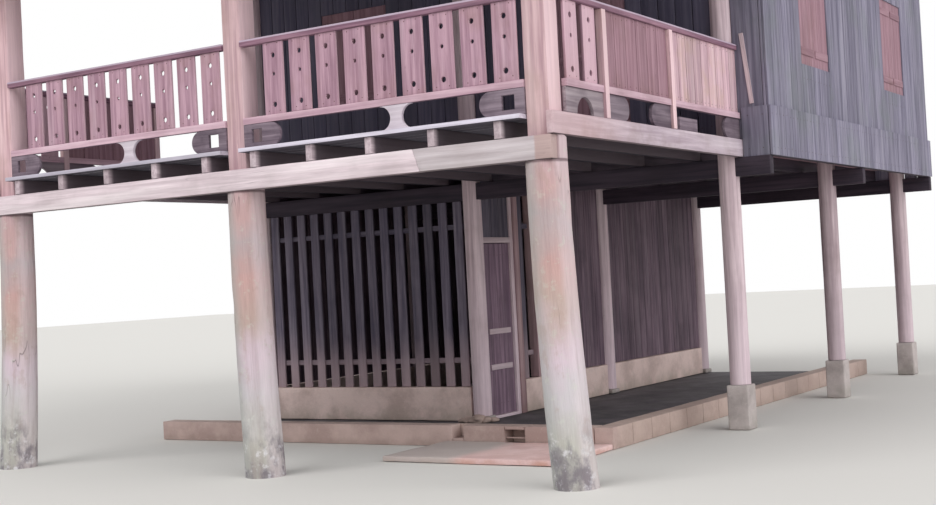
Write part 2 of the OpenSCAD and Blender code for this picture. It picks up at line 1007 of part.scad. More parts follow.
module king_posts() {
    color("peru") placed()
        for (x = post_x)
            box([x - plate_side / 2, ridge_y - plate_side / 2, wall_top],
                [x + plate_side / 2, ridge_y + plate_side / 2, ridge_bottom]);
}

module ridge_board() {
    color("peru") placed()
        ridge_space();
}

// Rafters stand between the gable walls, and one more at each end of the roof.
inner_left = body_left + wall_t + rafter_clear;
inner_right = body_right - wall_t - rafter_clear - rafter_w;
rafter_count = floor((inner_right - inner_left) / rafter_pitch);
rafter_step = (inner_right - inner_left) / rafter_count;
rafter_x = concat([roof_left], [for (k = [0:rafter_count]) inner_left + k * rafter_step],
    [roof_right - rafter_w]);

module rafter_row() {
    for (x = rafter_x)
        side_profile(x, rafter_w)
            children();
}

module main_rafters() {
    near_y = front_y - plate_side / 2;
    top_y = ridge_y - ridge_t / 2;
    color("peru") placed()
        difference() {
            union() {
                rafter_row()
                    polygon([[near_y, main_under(near_y)], [top_y, main_under(top_y)],
                        [top_y, rafter_over(top_y)], [near_y, rafter_over(near_y)]]);
                rafter_row()
                    polygon([[eave_back, main_under(eave_back)],
                        [ridge_y + ridge_t / 2, main_under(top_y)],
                        [ridge_y + ridge_t / 2, rafter_over(top_y)],
                        [eave_back, rafter_over(eave_back)]]);
            }
            plate_space();
        }
}

module verandah_rafters() {
    color("peru") placed()
        difference() {
            rafter_row()
                polygon([[eave_front, small_under(eave_front)],
                    [ledger_back, small_under(ledger_back)],
                    [ledger_back, small_rafter_over(ledger_back)],
                    [eave_front, small_rafter_over(eave_front)]]);
            small_plates();
        }
}

module front_slope() {
    color("darkslategray") placed()
        side_profile(roof_left, roof_len)
            polygon([[lap_y, cover_under(lap_y)], [ridge_y, cover_under(ridge_y)],
                [ridge_y, cover_over(ridge_y)], [lap_y, cover_over(lap_y)]]);
}

module back_slope() {
    color("darkslategray") placed()
        side_profile(roof_left, roof_len)
            polygon([[eave_back, cover_under(eave_back)], [ridge_y, cover_under(ridge_y)],
                [ridge_y, cover_over(ridge_y)], [eave_back, cover_over(eave_back)]]);
}

module verandah_roof() {
    color("darkslategray") placed()
        side_profile(roof_left, roof_len)
            polygon([[eave_front, small_cover_under(eave_front)],
                [ledger_back, small_cover_under(ledger_back)],
                [ledger_back, small_over(ledger_back)],
                [eave_front, small_over(eave_front)]]);
}

module ridge_cap() {
    near = ridge_y - cap_w;
    back = ridge_y + cap_w;
    low = cover_over(near) + seat_gap;
    high = cover_over(ridge_y) + seat_gap;
    color("darkslategray") placed()
        side_profile(roof_left, roof_len)
            polygon([[near, low], [ridge_y, high], [back, low], [back, low + cap_t],
                [ridge_y, high + cap_t], [near, low + cap_t]]);
}

barge_end = lap_y - 5;

module right_barge() {
    side_profile(roof_right, barge_t) {
        polygon([[lap_y, cover_over(lap_y)], [ridge_y, cover_over(ridge_y)],
            [eave_back, cover_over(eave_back)], [eave_back, cover_over(eave_back) - barge_d],
            [ridge_y, cover_over(ridge_y) - barge_d], [lap_y, cover_over(lap_y) - barge_d]]);
        polygon([[eave_front, small_over(eave_front)], [barge_end, small_over(barge_end)],
            [barge_end, small_over(barge_end) - barge_d],
            [eave_front, small_over(eave_front) - barge_d]]);
    }
}

module barge_boards() {
    color("tan") placed() {
        right_barge();
        mirrored_x() right_barge();
    }
}

corner_post();
front_posts();
body_posts();
post_footings();
plinth();
plinth_kerb();
front_beam_near();
front_beam_far();
cross_beams();
verandah_joists();
body_joists();
edge_joists();
verandah_floor();
body_floor();
front_top_rails();
side_top_rails();
bottom_rails();
side_bay_posts();
front_boards();
side_boards();
band_ornaments();
front_wall();
back_wall();
right_wall();
left_wall();
gables();
apron_boards();
upper_door();
window_shutters();
dado_walls();
slat_walls();
lower_board_walls();
wall_studs();
door_frame();
lower_door();
roof_plates();
tie_beams();
king_posts();
ridge_board();
main_rafters();
verandah_rafters();
front_slope();
back_slope();
verandah_roof();
ridge_cap();
barge_boards();
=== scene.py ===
import math
import random

import bmesh
import bpy
from mathutils import Matrix, Vector, noise


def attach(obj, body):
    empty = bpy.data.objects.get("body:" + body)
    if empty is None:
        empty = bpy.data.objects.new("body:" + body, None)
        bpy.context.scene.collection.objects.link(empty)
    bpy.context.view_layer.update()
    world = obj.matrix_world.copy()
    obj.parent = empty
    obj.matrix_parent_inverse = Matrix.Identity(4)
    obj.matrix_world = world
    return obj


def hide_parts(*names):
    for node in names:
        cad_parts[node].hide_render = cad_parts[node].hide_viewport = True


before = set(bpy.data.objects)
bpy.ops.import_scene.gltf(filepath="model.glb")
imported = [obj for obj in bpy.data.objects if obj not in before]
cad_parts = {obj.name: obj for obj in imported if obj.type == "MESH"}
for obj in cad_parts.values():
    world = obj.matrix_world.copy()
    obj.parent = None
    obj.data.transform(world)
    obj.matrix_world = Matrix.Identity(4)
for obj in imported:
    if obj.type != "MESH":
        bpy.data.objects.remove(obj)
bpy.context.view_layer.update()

# Places below are in metres from the corner post's centre: x along the front, y back, z up.
origin = Vector((2.9, -4.875, 0.0))
bay = 2.9
rows = (0.0, 3.6, 6.6, 9.6)
jetty = 0.43
floorTop = 2.75
joistTop = 2.715
girderTop = 2.58
girderLow = 2.4
wallTop = 5.65
leftX = -2 * bay

scene = bpy.context.scene


class Wire:
    # One socket of a node tree. Sums and products of wires add Math nodes.
    def __init__(self, tree, socket=None):
        self.tree = tree
        self.socket = socket

    def node(self, kind, settings=None, sockets=None, out=0):
        made = self.tree.nodes.new(kind)
        for key, value in (settings or {}).items():
            if key == "stops":
                ramp = made.color_ramp.elements
                while len(ramp) > 1:
                    ramp.remove(ramp[-1])
                for k, (at, colour) in enumerate(value):
                    stop = ramp[0] if k == 0 else ramp.new(at)
                    stop.position, stop.color = at, colour
            else:
                setattr(made, key, value)
        for key, value in (sockets or {}).items():
            if isinstance(value, Wire):
                self.tree.links.new(value.socket, made.inputs[key])
            else:
                made.inputs[key].default_value = value
        return Wire(self.tree, made.outputs[out] if len(made.outputs) else None)

    def maths(self, operation, *others, clamp=False):
        return self.node("ShaderNodeMath", {"operation": operation, "use_clamp": clamp},
                         dict(enumerate((self,) + others)))

    def __add__(self, other): return self.maths("ADD", other)
    __radd__ = __add__
    def __mul__(self, other): return self.maths("MULTIPLY", other)
    __rmul__ = __mul__
    def __sub__(self, other): return self.maths("SUBTRACT", other)
    def __rsub__(self, other): return self.node("ShaderNodeMath", {"operation": "SUBTRACT"},
                                                {0: other, 1: self})
    def __truediv__(self, other): return self.maths("DIVIDE", other)
    def __abs__(self): return self.maths("ABSOLUTE")

    def clamped(self):
        return self.maths("ADD", 0.0, clamp=True)

    def spread(self, low, high):
        # 0 at low, 1 at high, smooth between
        return self.node("ShaderNodeMapRange", {"interpolation_type": "SMOOTHSTEP"},
                         {0: self, 1: low, 2: high, 3: 0.0, 4: 1.0})

    def times(self, x, y, z):
        return self.node("ShaderNodeVectorMath", {"operation": "MULTIPLY"}, {0: self, 1: (x, y, z)})

    def part(self, which):
        return self.node("ShaderNodeSeparateXYZ", None, {0: self}, out="XYZ".index(which))

    def triple(self, x=0.0, y=0.0, z=0.0):
        return self.node("ShaderNodeCombineXYZ", None, {0: x, 1: y, 2: z})

    def noise(self, scale=1.0, detail=3.0, rough=0.55, twist=0.0):
        return self.node("ShaderNodeTexNoise", None,
                         {"Vector": self, "Scale": scale, "Detail": detail, "Roughness": rough,
                          "Distortion": twist})


def paint(red, green, blue):
    def linear(value):
        value = value / 255.0
        return value / 12.92 if value <= 0.04045 else ((value + 0.055) / 1.055) ** 2.4
    return (linear(red), linear(green), linear(blue), 1.0)


def blended(wire, share, first, second, how="MIX"):
    return wire.node("ShaderNodeMix", {"data_type": "RGBA", "blend_type": how},
                     {0: share, 6: first, 7: second}, out=2)


def shaded(wire, colour, shade):
    return blended(wire, 1.0, colour, wire.triple(shade, shade, shade), "MULTIPLY")


def zoned(wire, colour, place, patch, waver, zones):
    # Each zone has its axis, where it starts and is full, its share and its tint.
    for axis, low, high, share, tint in zones:
        edge = place.part(axis) + (patch - 0.5) * waver
        colour = blended(wire, edge.spread(low, high) * share, colour, paint(*tint))
    return colour


def newFinish(name):
    material = bpy.data.materials.new(name)
    material.use_nodes = True
    tree = material.node_tree
    tree.nodes.clear()
    return material, Wire(tree)


def closeFinish(wire, colour, rough, height, depth, strength=1.0, plain=None):
    bump = wire.node("ShaderNodeBump", None,
                     {"Strength": strength, "Distance": depth, "Height": height})
    sockets = {"Base Color": colour, "Roughness": rough, "Normal": bump}
    sockets.update(plain or {})
    shader = wire.node("ShaderNodeBsdfPrincipled", None, sockets)
    wire.node("ShaderNodeOutputMaterial", None, {"Surface": shader})


view = {"place": (7.7485, -13.7511, 1.5629), "yaw": 32.12, "pitch": 1.11, "roll": -3.04, "lens": 53.02}
light = {"world": 0.55, "key": 1.2, "keyFrom": (-0.2, -0.8, 0.85), "keySpread": 45.0,
         "side": 1.45, "sideFrom": (0.95, -0.3, 0.5), "sideSpread": 60.0, "floor": (222, 220, 216)}


def setCamera():
    yaw, pitch, roll = (math.radians(view[key]) for key in ("yaw", "pitch", "roll"))
    ahead = Vector((-math.sin(yaw) * math.cos(pitch), math.cos(yaw) * math.cos(pitch), math.sin(pitch)))
    right = Vector((math.cos(yaw), math.sin(yaw), 0.0))
    up = right.cross(ahead)
    rolledRight = right * math.cos(roll) + up * math.sin(roll)
    rolledUp = up * math.cos(roll) - right * math.sin(roll)
    turn = Matrix((rolledRight, rolledUp, -ahead)).transposed()
    data = bpy.data.cameras.new("camera")
    data.sensor_width = 36.0
    data.lens = view["lens"]
    data.clip_end = 200.0
    camera = bpy.data.objects.new("camera", data)
    camera.matrix_world = Matrix.Translation(view["place"]) @ turn.to_4x4()
    scene.collection.objects.link(camera)
    scene.camera = camera


def setLights():
    for name, strength, towards, spread in (
            ("key light", light["key"], light["keyFrom"], light["keySpread"]),
            ("side light", light["side"], light["sideFrom"], light["sideSpread"])):
        data = bpy.data.lights.new(name, "SUN")
        data.energy = strength
        data.angle = math.radians(spread)
        lamp = bpy.data.objects.new(name, data)
        lamp.rotation_mode = "QUATERNION"
        lamp.rotation_quaternion = Vector(towards).to_track_quat("Z", "Y")
        scene.collection.objects.link(lamp)
    world = bpy.data.worlds.new("studio")
    world.use_nodes = True
    world.node_tree.nodes.clear()
    wire = Wire(world.node_tree)
    seen = wire.node("ShaderNodeLightPath", out="Is Camera Ray")
    glossy = wire.node("ShaderNodeLightPath", out="Is Glossy Ray")
    shone = wire.node("ShaderNodeLightPath", out="Is Transmission Ray")
    bright = (seen + glossy + shone).clamped()
    strength = bright * (1.0 - light["world"]) + light["world"]
    sky = wire.node("ShaderNodeBackground", None, {"Color": (1.0, 1.0, 1.0, 1.0), "Strength": strength})
    wire.node("ShaderNodeOutputWorld", None, {"Surface": sky})
    scene.world = world
    scene.view_settings.view_transform = "Standard"


def setFloor():
    mesh = bpy.data.meshes.new("studio_floor")
    size = 60.0
    mesh.from_pydata([(-size, -size, 0), (size, -size, 0), (size, size, 0), (-size, size, 0)], [],
                     [(0, 1, 2, 3)])
    floor = bpy.data.objects.new("studio_floor", mesh)
    scene.collection.objects.link(floor)
    material, wire = newFinish("studio floor")
    place = wire.node("ShaderNodeTexCoord", out="Object")
    colour = blended(wire, place.noise(0.4, 2.0) * 0.05, paint(*light["floor"]), paint(206, 204, 200))
    closeFinish(wire, colour, 0.9, place.noise(30.0), 0.001, 0.2)
    mesh.materials.append(material)


setCamera()
setLights()
setFloor()
print("camera, light and floor set")


# Sides of a timber that get painted light or shade by the way they face: "over" a painted highlight on top,
# "under" painted shade beneath, "right" painted light on the right side. Each: axis, sign, where the tint
# starts and is full, share
paintedLightSides = {"over": ("Z", 1.0, 0.35, 0.8, 0.8), "under": ("Z", -1.0, 0.35, 0.8, 0.85),
             "right": ("X", 1.0, 0.6, 0.9, 0.55)}


def timberFinish(name, look):
    # Weathered timber, with painted light and shade on the faces that the look names. "grain" runs along each
    # board in metres, "tone" is one number for each board.
    material, wire = newFinish(name)
    grain = wire.node("ShaderNodeAttribute", {"attribute_name": "grain"}, out="Vector")
    tone = wire.node("ShaderNodeAttribute", {"attribute_name": "tone"}, out="Fac")
    place = wire.node("ShaderNodeTexCoord", out="Object")
    fibre = grain.times(5.0, 190.0, 190.0).noise(1.0, 3.0, 0.6)
    streak = grain.times(1.1, 26.0, 26.0).noise(1.0, 4.0, 0.6, 0.3)
    broad = grain.times(0.45, 7.0, 7.0).noise(1.0, 3.0, 0.5)
    patch = place.noise(look.get("patchScale", 1.6), 4.0, 0.62)
    split = abs(grain.times(0.7, 17.0, 17.0).noise(1.0, 2.0, 0.5) - 0.5)
    where = grain.times(0.5, 3.0, 3.0).noise(1.0, 1.0)
    crack = (1.0 - split.spread(0.0, 0.006)) * where.spread(0.54, 0.66) * look.get("cracks", 0.35)
    colour = blended(wire, streak.spread(0.3, 0.72), paint(*look["dark"]), paint(*look["light"]))
    colour = blended(wire, patch.spread(0.45, 0.72) * look.get("patch", 0.5), colour, paint(*look["stain"]))
    colour = blended(wire, broad.spread(0.5, 0.75) * look.get("wash", 0.35), colour, paint(*look["bleach"]))
    colour = zoned(wire, colour, place, patch, look.get("waver", 0.06), look.get("zones", ()))
    # painted light and shade: faces are tinted by the way they look, lighter on top and on the right, darker
    # beneath
    for side, (axis, sign, low, high, share) in paintedLightSides.items():
        if side in look:
            facing = wire.node("ShaderNodeNewGeometry", out="True Normal").part(axis) * sign
            colour = blended(wire, facing.spread(low, high) * share, colour, paint(*look[side]))
    variety = look.get("variety", 0.3)
    colour = shaded(wire, colour, (fibre * 0.3 + 0.85) * (tone * variety + 1.0 - variety / 2))
    colour = blended(wire, crack * 0.75, colour, paint(46, 36, 40))
    rough = (fibre * 0.2 + 0.68 + crack * 0.1).clamped()
    height = fibre * 0.3 + streak * 0.5 - crack
    closeFinish(wire, colour, rough, height, 0.004, 0.8, {"Specular IOR Level": 0.3})
    return material


def masonryFinish(name, look):
    material, wire = newFinish(name)
    place = wire.node("ShaderNodeTexCoord", out="Object")
    grit = place.noise(140.0, 3.0, 0.7)
    lump = place.noise(22.0, 4.0, 0.6)
    patch = place.noise(look.get("patchScale", 2.2), 5.0, 0.65)
    height = place.part("Z")
    damp = (1.0 - height.spread(0.02, look.get("dampTop", 0.22))) * place.noise(5.0, 3.0).spread(0.3, 0.6)
    colour = blended(wire, patch.spread(0.38, 0.66), paint(*look["light"]), paint(*look["dark"]))
    colour = blended(wire, lump.spread(0.55, 0.75) * 0.35, colour, paint(*look["bleach"]))
    colour = blended(wire, damp * look.get("damp", 0.45), colour, paint(*look["moss"]))
    colour = zoned(wire, colour, place, patch, 0.3, look.get("zones", ()))
    colour = shaded(wire, colour, grit * 0.3 + 0.85)
    closeFinish(wire, colour, (grit * 0.15 + 0.78).clamped(), grit * 0.35 + lump, 0.006, 0.8)
    return material


def trunkFinish(name, look):
    # Barkless trunks: bands of colour from foot to head, painted light on the left side and a painted
    # highlight along the right rim, bark left on low down, and a painted shadow under the front beam.
    material, wire = newFinish(name)
    grain = wire.node("ShaderNodeAttribute", {"attribute_name": "grain"}, out="Vector")
    place = wire.node("ShaderNodeTexCoord", out="Object")
    height = place.part("Z")
    across = grain.part("Y")
    fibre = grain.times(6.0, 120.0, 120.0).noise(1.0, 4.0, 0.6, 0.4)
    streak = grain.times(0.9, 16.0, 16.0).noise(1.0, 4.0, 0.6, 0.5)
    wander = place.times(1.0, 1.0, 0.8).noise(2.6, 4.0, 0.6)
    blot = place.times(1.0, 1.0, 0.6).noise(7.5, 5.0, 0.65)
    lichenSpot = place.noise(13.0, 5.0, 0.7)
    split = abs(grain.times(1.0, 9.0, 9.0).noise(1.0, 2.0, 0.5, 0.3) - 0.5)
    crack = (1.0 - split.spread(0.0, 0.008)) * place.noise(1.4, 2.0).spread(0.5, 0.62)
    level = height / 2.6 + (wander - 0.5) * 0.3
    colour = wire.node("ShaderNodeValToRGB", {"stops": [(at, paint(*tint)) for at, tint in look["bands"]]},
                       {0: level})
    # painted light: the trunk's left side is paler
    left = (0.02 - across + (wander - 0.5) * 0.16).spread(-0.02, 0.1)
    colour = blended(wire, left * 0.55, colour, paint(*look["left"]))
    # painted highlight: a lighter rim on the trunk's right side
    rim = (across + (wander - 0.5) * 0.05).spread(0.1, 0.15)
    colour = blended(wire, rim * 0.45, colour, paint(*look["rim"]))
    colour = blended(wire, (0.62 - streak).spread(0.1, 0.3) * 0.22, colour, paint(*look["stain"]))
    colour = blended(wire, blot.spread(0.56, 0.66) * 0.3, colour, paint(*look["blot"]))
    colour = blended(wire, lichenSpot.spread(0.55, 0.66) * 0.35, colour, paint(*look["lichen"]))
    low = 1.0 - (height + (wander - 0.5) * 0.7).spread(0.15, 0.6)
    colour = blended(wire, blot.spread(0.42, 0.62) * low * 0.75, colour, paint(*look["bark"]))
    colour = blended(wire, lichenSpot.spread(0.52, 0.68) * low * 0.6, colour, paint(*look["chalk"]))
    # painted shadow: a dark band just under the front beam where it sits in the notch
    underBeamShadow = (height + (wander - 0.5) * 0.02).spread(2.376, 2.392) * (1.0 - height.spread(2.402, 2.41))
    colour = blended(wire, underBeamShadow * 0.7, colour, paint(*look["underBeamShadow"]))
    colour = shaded(wire, colour, fibre * 0.3 + 0.85)
    colour = blended(wire, crack * 0.4, colour, paint(92, 78, 80))
    closeFinish(wire, colour, (fibre * 0.15 + 0.75).clamped(), fibre * 0.4 + blot * 0.8 - crack,
                0.008, 0.9, {"Specular IOR Level": 0.25})
    return material


def tileFinish(name, look):
    material, wire = newFinish(name)
    tone = wire.node("ShaderNodeAttribute", {"attribute_name": "tone"}, out="Fac")
    place = wire.node("ShaderNodeTexCoord", out="Object")
    patch = place.noise(1.7, 5.0, 0.65)
    grit = place.noise(90.0, 3.0, 0.7)
    moss = place.noise(6.5, 5.0, 0.7)
    colour = blended(wire, tone, paint(*look["dark"]), paint(*look["light"]))
    colour = blended(wire, patch.spread(0.4, 0.7) * 0.55, colour, paint(*look["stain"]))
    colour = blended(wire, moss.spread(0.54, 0.68) * 0.6, colour, paint(*look["moss"]))
    colour = shaded(wire, colour, grit * 0.3 + 0.85)
    closeFinish(wire, colour, (grit * 0.2 + 0.68).clamped(), grit * 0.5 + moss, 0.003, 0.7)
    return material


# painted shade: the timbers under the floor are coloured dark for the shade there
underFloorShade = (52, 44, 50)     # what the timbers under the floor darken to
trunkWood = trunkFinish("bare trunk", {
    "bands": [(0.0, (160, 156, 152)), (0.12, (186, 184, 176)), (0.27, (200, 194, 198)),
              (0.38, (208, 190, 200)), (0.5, (188, 166, 158)), (0.64, (196, 160, 156)),
              (0.76, (182, 166, 168)), (0.84, (196, 163, 162)), (0.94, (196, 166, 170))],
    "left": (176, 178, 176), "rim": (226, 212, 218), "stain": (146, 122, 122), "blot": (174, 150, 140),
    "lichen": (200, 204, 192), "bark": (112, 106, 116), "chalk": (228, 224, 232), "underBeamShadow": (88, 68, 74)})
# "right" is painted light on the faces that look along +x
postWood = timberFinish("pinkish post timber", {"light": (218, 186, 190), "dark": (180, 146, 154),
    "stain": (176, 146, 138), "bleach": (226, 204, 204), "patch": 0.6, "right": (250, 220, 226)})
studWood = timberFinish("shaded stud timber", {"light": (192, 160, 164), "dark": (150, 120, 128),
    "stain": (146, 118, 112), "bleach": (204, 180, 180), "patch": 0.6})
roundWood = timberFinish("pale round post timber", {"light": (222, 202, 208), "dark": (182, 160, 168),
    "stain": (166, 146, 148), "bleach": (230, 218, 220), "waver": 0.5,
    "zones": [("Z", 1.8, 0.6, 0.4, (226, 208, 218))]})
# "under" is painted shade on the underside
nearBeamWood = timberFinish("greyish beam timber", {"light": (218, 208, 212), "dark": (190, 178, 182),
    "stain": (176, 162, 162), "bleach": (228, 220, 220), "patch": 0.3, "wash": 0.4, "waver": 0.03,
    "zones": [("X", 2.885, 2.905, 0.85, (192, 164, 160))], "under": (120, 108, 112)})
# "under" is painted shade on the underside
beamWood = timberFinish("bleached beam timber", {"light": (224, 208, 214), "dark": (190, 174, 180),
    "stain": (164, 152, 154), "bleach": (242, 234, 236), "patch": 0.4, "wash": 0.5, "under": (120, 108, 112)})
# "under" is painted shade on the underside
sideBeamWood = timberFinish("lilac joist timber", {"light": (214, 198, 208), "dark": (178, 160, 172),
    "stain": (158, 138, 140), "bleach": (226, 216, 222), "patch": 0.6, "patchScale": 2.6,
    "zones": [("Y", -3.4, -4.7, 0.5, (208, 172, 172))], "under": (110, 98, 104)})
# painted shade under the deck: the joists darken behind their front ends and on their undersides
joistWood = timberFinish("joist timber", {"light": (206, 190, 196), "dark": (170, 152, 160),
    "stain": (150, 134, 142), "bleach": (214, 202, 206), "waver": 0.02, "under": (32, 28, 42),
    "zones": [("Y", -5.03, -4.97, 0.92, (78, 68, 76))]})
# "under" is painted shade on the deck's underside
deckWood = timberFinish("bleached deck timber", {"light": (220, 214, 228), "dark": (188, 182, 196),
    "stain": (172, 164, 176), "bleach": (232, 226, 236), "under": (28, 26, 44)})
# "right" is painted light on the faces that look along +x
boardWood = timberFinish("mauve board timber", {"light": (206, 168, 184), "dark": (160, 124, 141),
    "stain": (158, 124, 120), "bleach": (218, 192, 204), "cracks": 0.25, "patch": 0.5,
    "right": (240, 204, 216)})
# "over" and the zone at the top are a painted highlight along the rail's upper edge
railWood = timberFinish("mauve rail timber", {"light": (170, 130, 148), "dark": (122, 88, 108),
    "stain": (108, 82, 96), "bleach": (192, 160, 174), "over": (214, 198, 214), "waver": 0.006,
    "zones": [("Z", 3.636, 3.642, 0.8, (208, 192, 210))]})
# "under" is painted shadow beneath the low rails
lowRailWood = timberFinish("light rail timber", {"light": (224, 192, 204), "dark": (192, 156, 172),
    "stain": (164, 134, 142), "bleach": (228, 206, 216), "under": (92, 72, 88)})
paleOrnament = timberFinish("whitish ornament timber", {"light": (226, 216, 226), "dark": (196, 184, 194),
    "stain": (160, 148, 158), "bleach": (230, 222, 228), "patch": 0.4})
# painted shade: the half ornaments beside the posts are coloured darker
shadedOrnament = timberFinish("dull ornament timber", {"light": (142, 127, 138), "dark": (94, 80, 92),
    "stain": (78, 66, 78), "bleach": (166, 152, 162), "patch": 0.6, "patchScale": 4.0})
sideOrnament = timberFinish("greyish ornament timber", {"light": (176, 162, 168), "dark": (132, 118, 127),
    "stain": (110, 96, 106), "bleach": (196, 184, 190), "patch": 0.5, "patchScale": 3.5})
plankWood = timberFinish("brown plank timber", {"light": (174, 138, 150), "dark": (142, 108, 120),
    "stain": (136, 106, 108), "bleach": (184, 152, 162), "wash": 0.2, "variety": 0.12})
palePlankWood = timberFinish("light plank timber", {"light": (224, 192, 200), "dark": (184, 150, 162),
    "stain": (196, 168, 150), "bleach": (232, 210, 214), "patch": 0.5, "patchScale": 3.0, "variety": 0.4})
# girders and room joists darkened as painted shade under the floor
girderWood = timberFinish("smoky girder timber", {"light": (74, 62, 74), "dark": (46, 40, 52),
    "stain": underFloorShade, "bleach": (92, 82, 94)})
greyWood = timberFinish("grey wall timber", {"light": (152, 147, 166), "dark": (106, 102, 122),
    "stain": (118, 124, 126), "bleach": (170, 166, 180)})
frontWallWood = timberFinish("shaded wall timber", {"light": (152, 147, 166), "dark": (106, 102, 122),
    "stain": (118, 124, 126), "bleach": (170, 166, 180), "waver": 0.02,
    "zones": [("X", 3.0, 2.96, 0.7, (66, 62, 84))]})
lowerWood = timberFinish("dark wall timber", {"light": (132, 112, 124), "dark": (86, 70, 84),
    "stain": (76, 64, 74), "bleach": (152, 136, 146)})
# painted shade: slats coloured dark for the shade under the floor, the tint low down lightening them towards
# the foot
slatWood = timberFinish("grey slat timber", {"light": (118, 110, 124), "dark": (78, 72, 88),
    "stain": (70, 66, 84), "bleach": (150, 140, 150), "variety": 0.6, "waver": 0.3,
    "zones": [("Z", 1.1, 0.5, 0.6, (184, 160, 164))]})
doorWood = timberFinish("dark door timber", {"light": (158, 132, 150), "dark": (112, 90, 108),
    "stain": (104, 86, 98), "bleach": (178, 156, 170)})
# roof timbers darkened as painted shade under the roof
roofWood = timberFinish("smoky roof timber", {"light": (118, 98, 92), "dark": (78, 62, 58),
    "stain": (70, 58, 56), "bleach": (140, 122, 114)})
slabConcrete = masonryFinish("dark grey slab", {"light": (106, 100, 106), "dark": (76, 70, 78),
    "bleach": (128, 122, 126), "moss": (70, 72, 66)})
stepCement = masonryFinish("pinkish step cement", {"light": (236, 206, 204), "dark": (216, 182, 180),
    "bleach": (238, 220, 216), "moss": (196, 148, 132), "dampTop": 0.07, "damp": 0.8,
    "zones": [("X", 1.45, 1.2, 0.8, (180, 174, 170))]})
dadoPlaster = masonryFinish("rough dado plaster", {"light": (238, 214, 208), "dark": (206, 182, 176),
    "bleach": (240, 226, 220), "moss": (158, 150, 134), "dampTop": 0.3})
kerbCement = masonryFinish("faded red cement", {"light": (204, 178, 174), "dark": (172, 144, 142),
    "bleach": (214, 198, 190), "moss": (136, 118, 110), "dampTop": 0.1,
    "zones": [("Y", -3.3, -2.5, 0.6, (178, 160, 148))]})
footStone = masonryFinish("pale footing stone", {"light": (196, 186, 184), "dark": (164, 154, 152),
    "bleach": (214, 206, 202), "moss": (130, 128, 116)})
clayTile = tileFinish("weathered clay tile", {"light": (150, 104, 88), "dark": (104, 76, 70),
    "stain": (78, 70, 70), "moss": (92, 98, 80)})
nailIron, nailWire = newFinish("rusty nail iron")
nailPlace = nailWire.node("ShaderNodeTexCoord", out="Object")
closeFinish(nailWire, blended(nailWire, nailPlace.noise(300.0).spread(0.4, 0.6), paint(72, 52, 46),
    paint(104, 74, 60)), 0.7, nailPlace.noise(500.0), 0.0005, 0.5, {"Metallic": 0.5})
print("finishes made")


def linked(name, mesh):
    piece = bpy.data.objects.new(name, mesh)
    scene.collection.objects.link(piece)
    return piece


def finishMesh(mesh, finish, angle=35.0):
    if finish:
        mesh.materials.clear()
        mesh.materials.append(finish)
    for face in mesh.polygons:
        face.use_smooth = True
    mesh.set_sharp_from_angle(angle=math.radians(angle))


def closeMesh(bm, name, finish=None, angle=35.0):
    mesh = bpy.data.meshes.new(name)
    bm.to_mesh(mesh)
    bm.free()
    if finish:
        finishMesh(mesh, finish, angle)
    return linked(name, mesh)


def settle(piece, slot, nodes, body="house"):
    # Every finished piece rides on a body and takes the place of its nodes.
    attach(piece, body)
    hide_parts(*nodes)
    return piece


def placed(piece, matrix):
    # Moves what was made at the corner post to its own place.
    piece.data.transform(Matrix.Translation(-origin))
    piece.data.transform(matrix)
    return piece


def islands(bm):
    seen = set()
    for start in bm.verts:
        if start in seen:
            continue
        group, queue = [], [start]
        seen.add(start)
        while queue:
            vert = queue.pop()
            group.append(vert)
            for edge in vert.link_edges:
                other = edge.other_vert(vert)
                if other not in seen:
                    seen.add(other)
                    queue.append(other)
        yield group


def addBox(bm, low, high):
    verts = bmesh.ops.create_cube(bm, size=1.0)["verts"]
    low, high = Vector(low) + origin, Vector(high) + origin
    for vert in verts:
        vert.co = Vector([low[k] + (vert.co[k] + 0.5) * (high[k] - low[k]) for k in range(3)])


def grainLayers(bm):
    return bm.verts.layers.float_vector.new("grain"), bm.verts.layers.float.new("tone")


def cutAway(bm, point, normal):
    # Takes away what lies beyond a plane and closes the cut.
    cut = bmesh.ops.bisect_plane(bm, geom=bm.verts[:] + bm.edges[:] + bm.faces[:], dist=1e-6,
                                 plane_co=Vector(point) + origin, plane_no=normal, clear_outer=True)
    bmesh.ops.holes_fill(bm, edges=[item for item in cut["geom_cut"]
                                    if isinstance(item, bmesh.types.BMEdge)], sides=0)


def rounded(look, nodes, boxes):
    # The CAD nodes and boxes in one mesh, merged and with rounded edges
    bm = bmesh.new()
    for node in nodes:
        bm.from_mesh(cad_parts[node].data)
    bmesh.ops.remove_doubles(bm, verts=bm.verts, dist=1e-5)
    bmesh.ops.dissolve_limit(bm, angle_limit=0.01, verts=bm.verts, edges=bm.edges)
    if "cut" in look:
        cutAway(bm, *look["cut"])
    for low, high in boxes:
        addBox(bm, low, high)
    bm.normal_update()
    sharp = [edge for edge in bm.edges if edge.is_manifold and edge.calc_face_angle(0.0) > 0.45]
    bmesh.ops.bevel(bm, geom=sharp, offset=look["edge"], segments=2, profile=0.5, affect="EDGES",
                    clamp_overlap=True)
    return bm


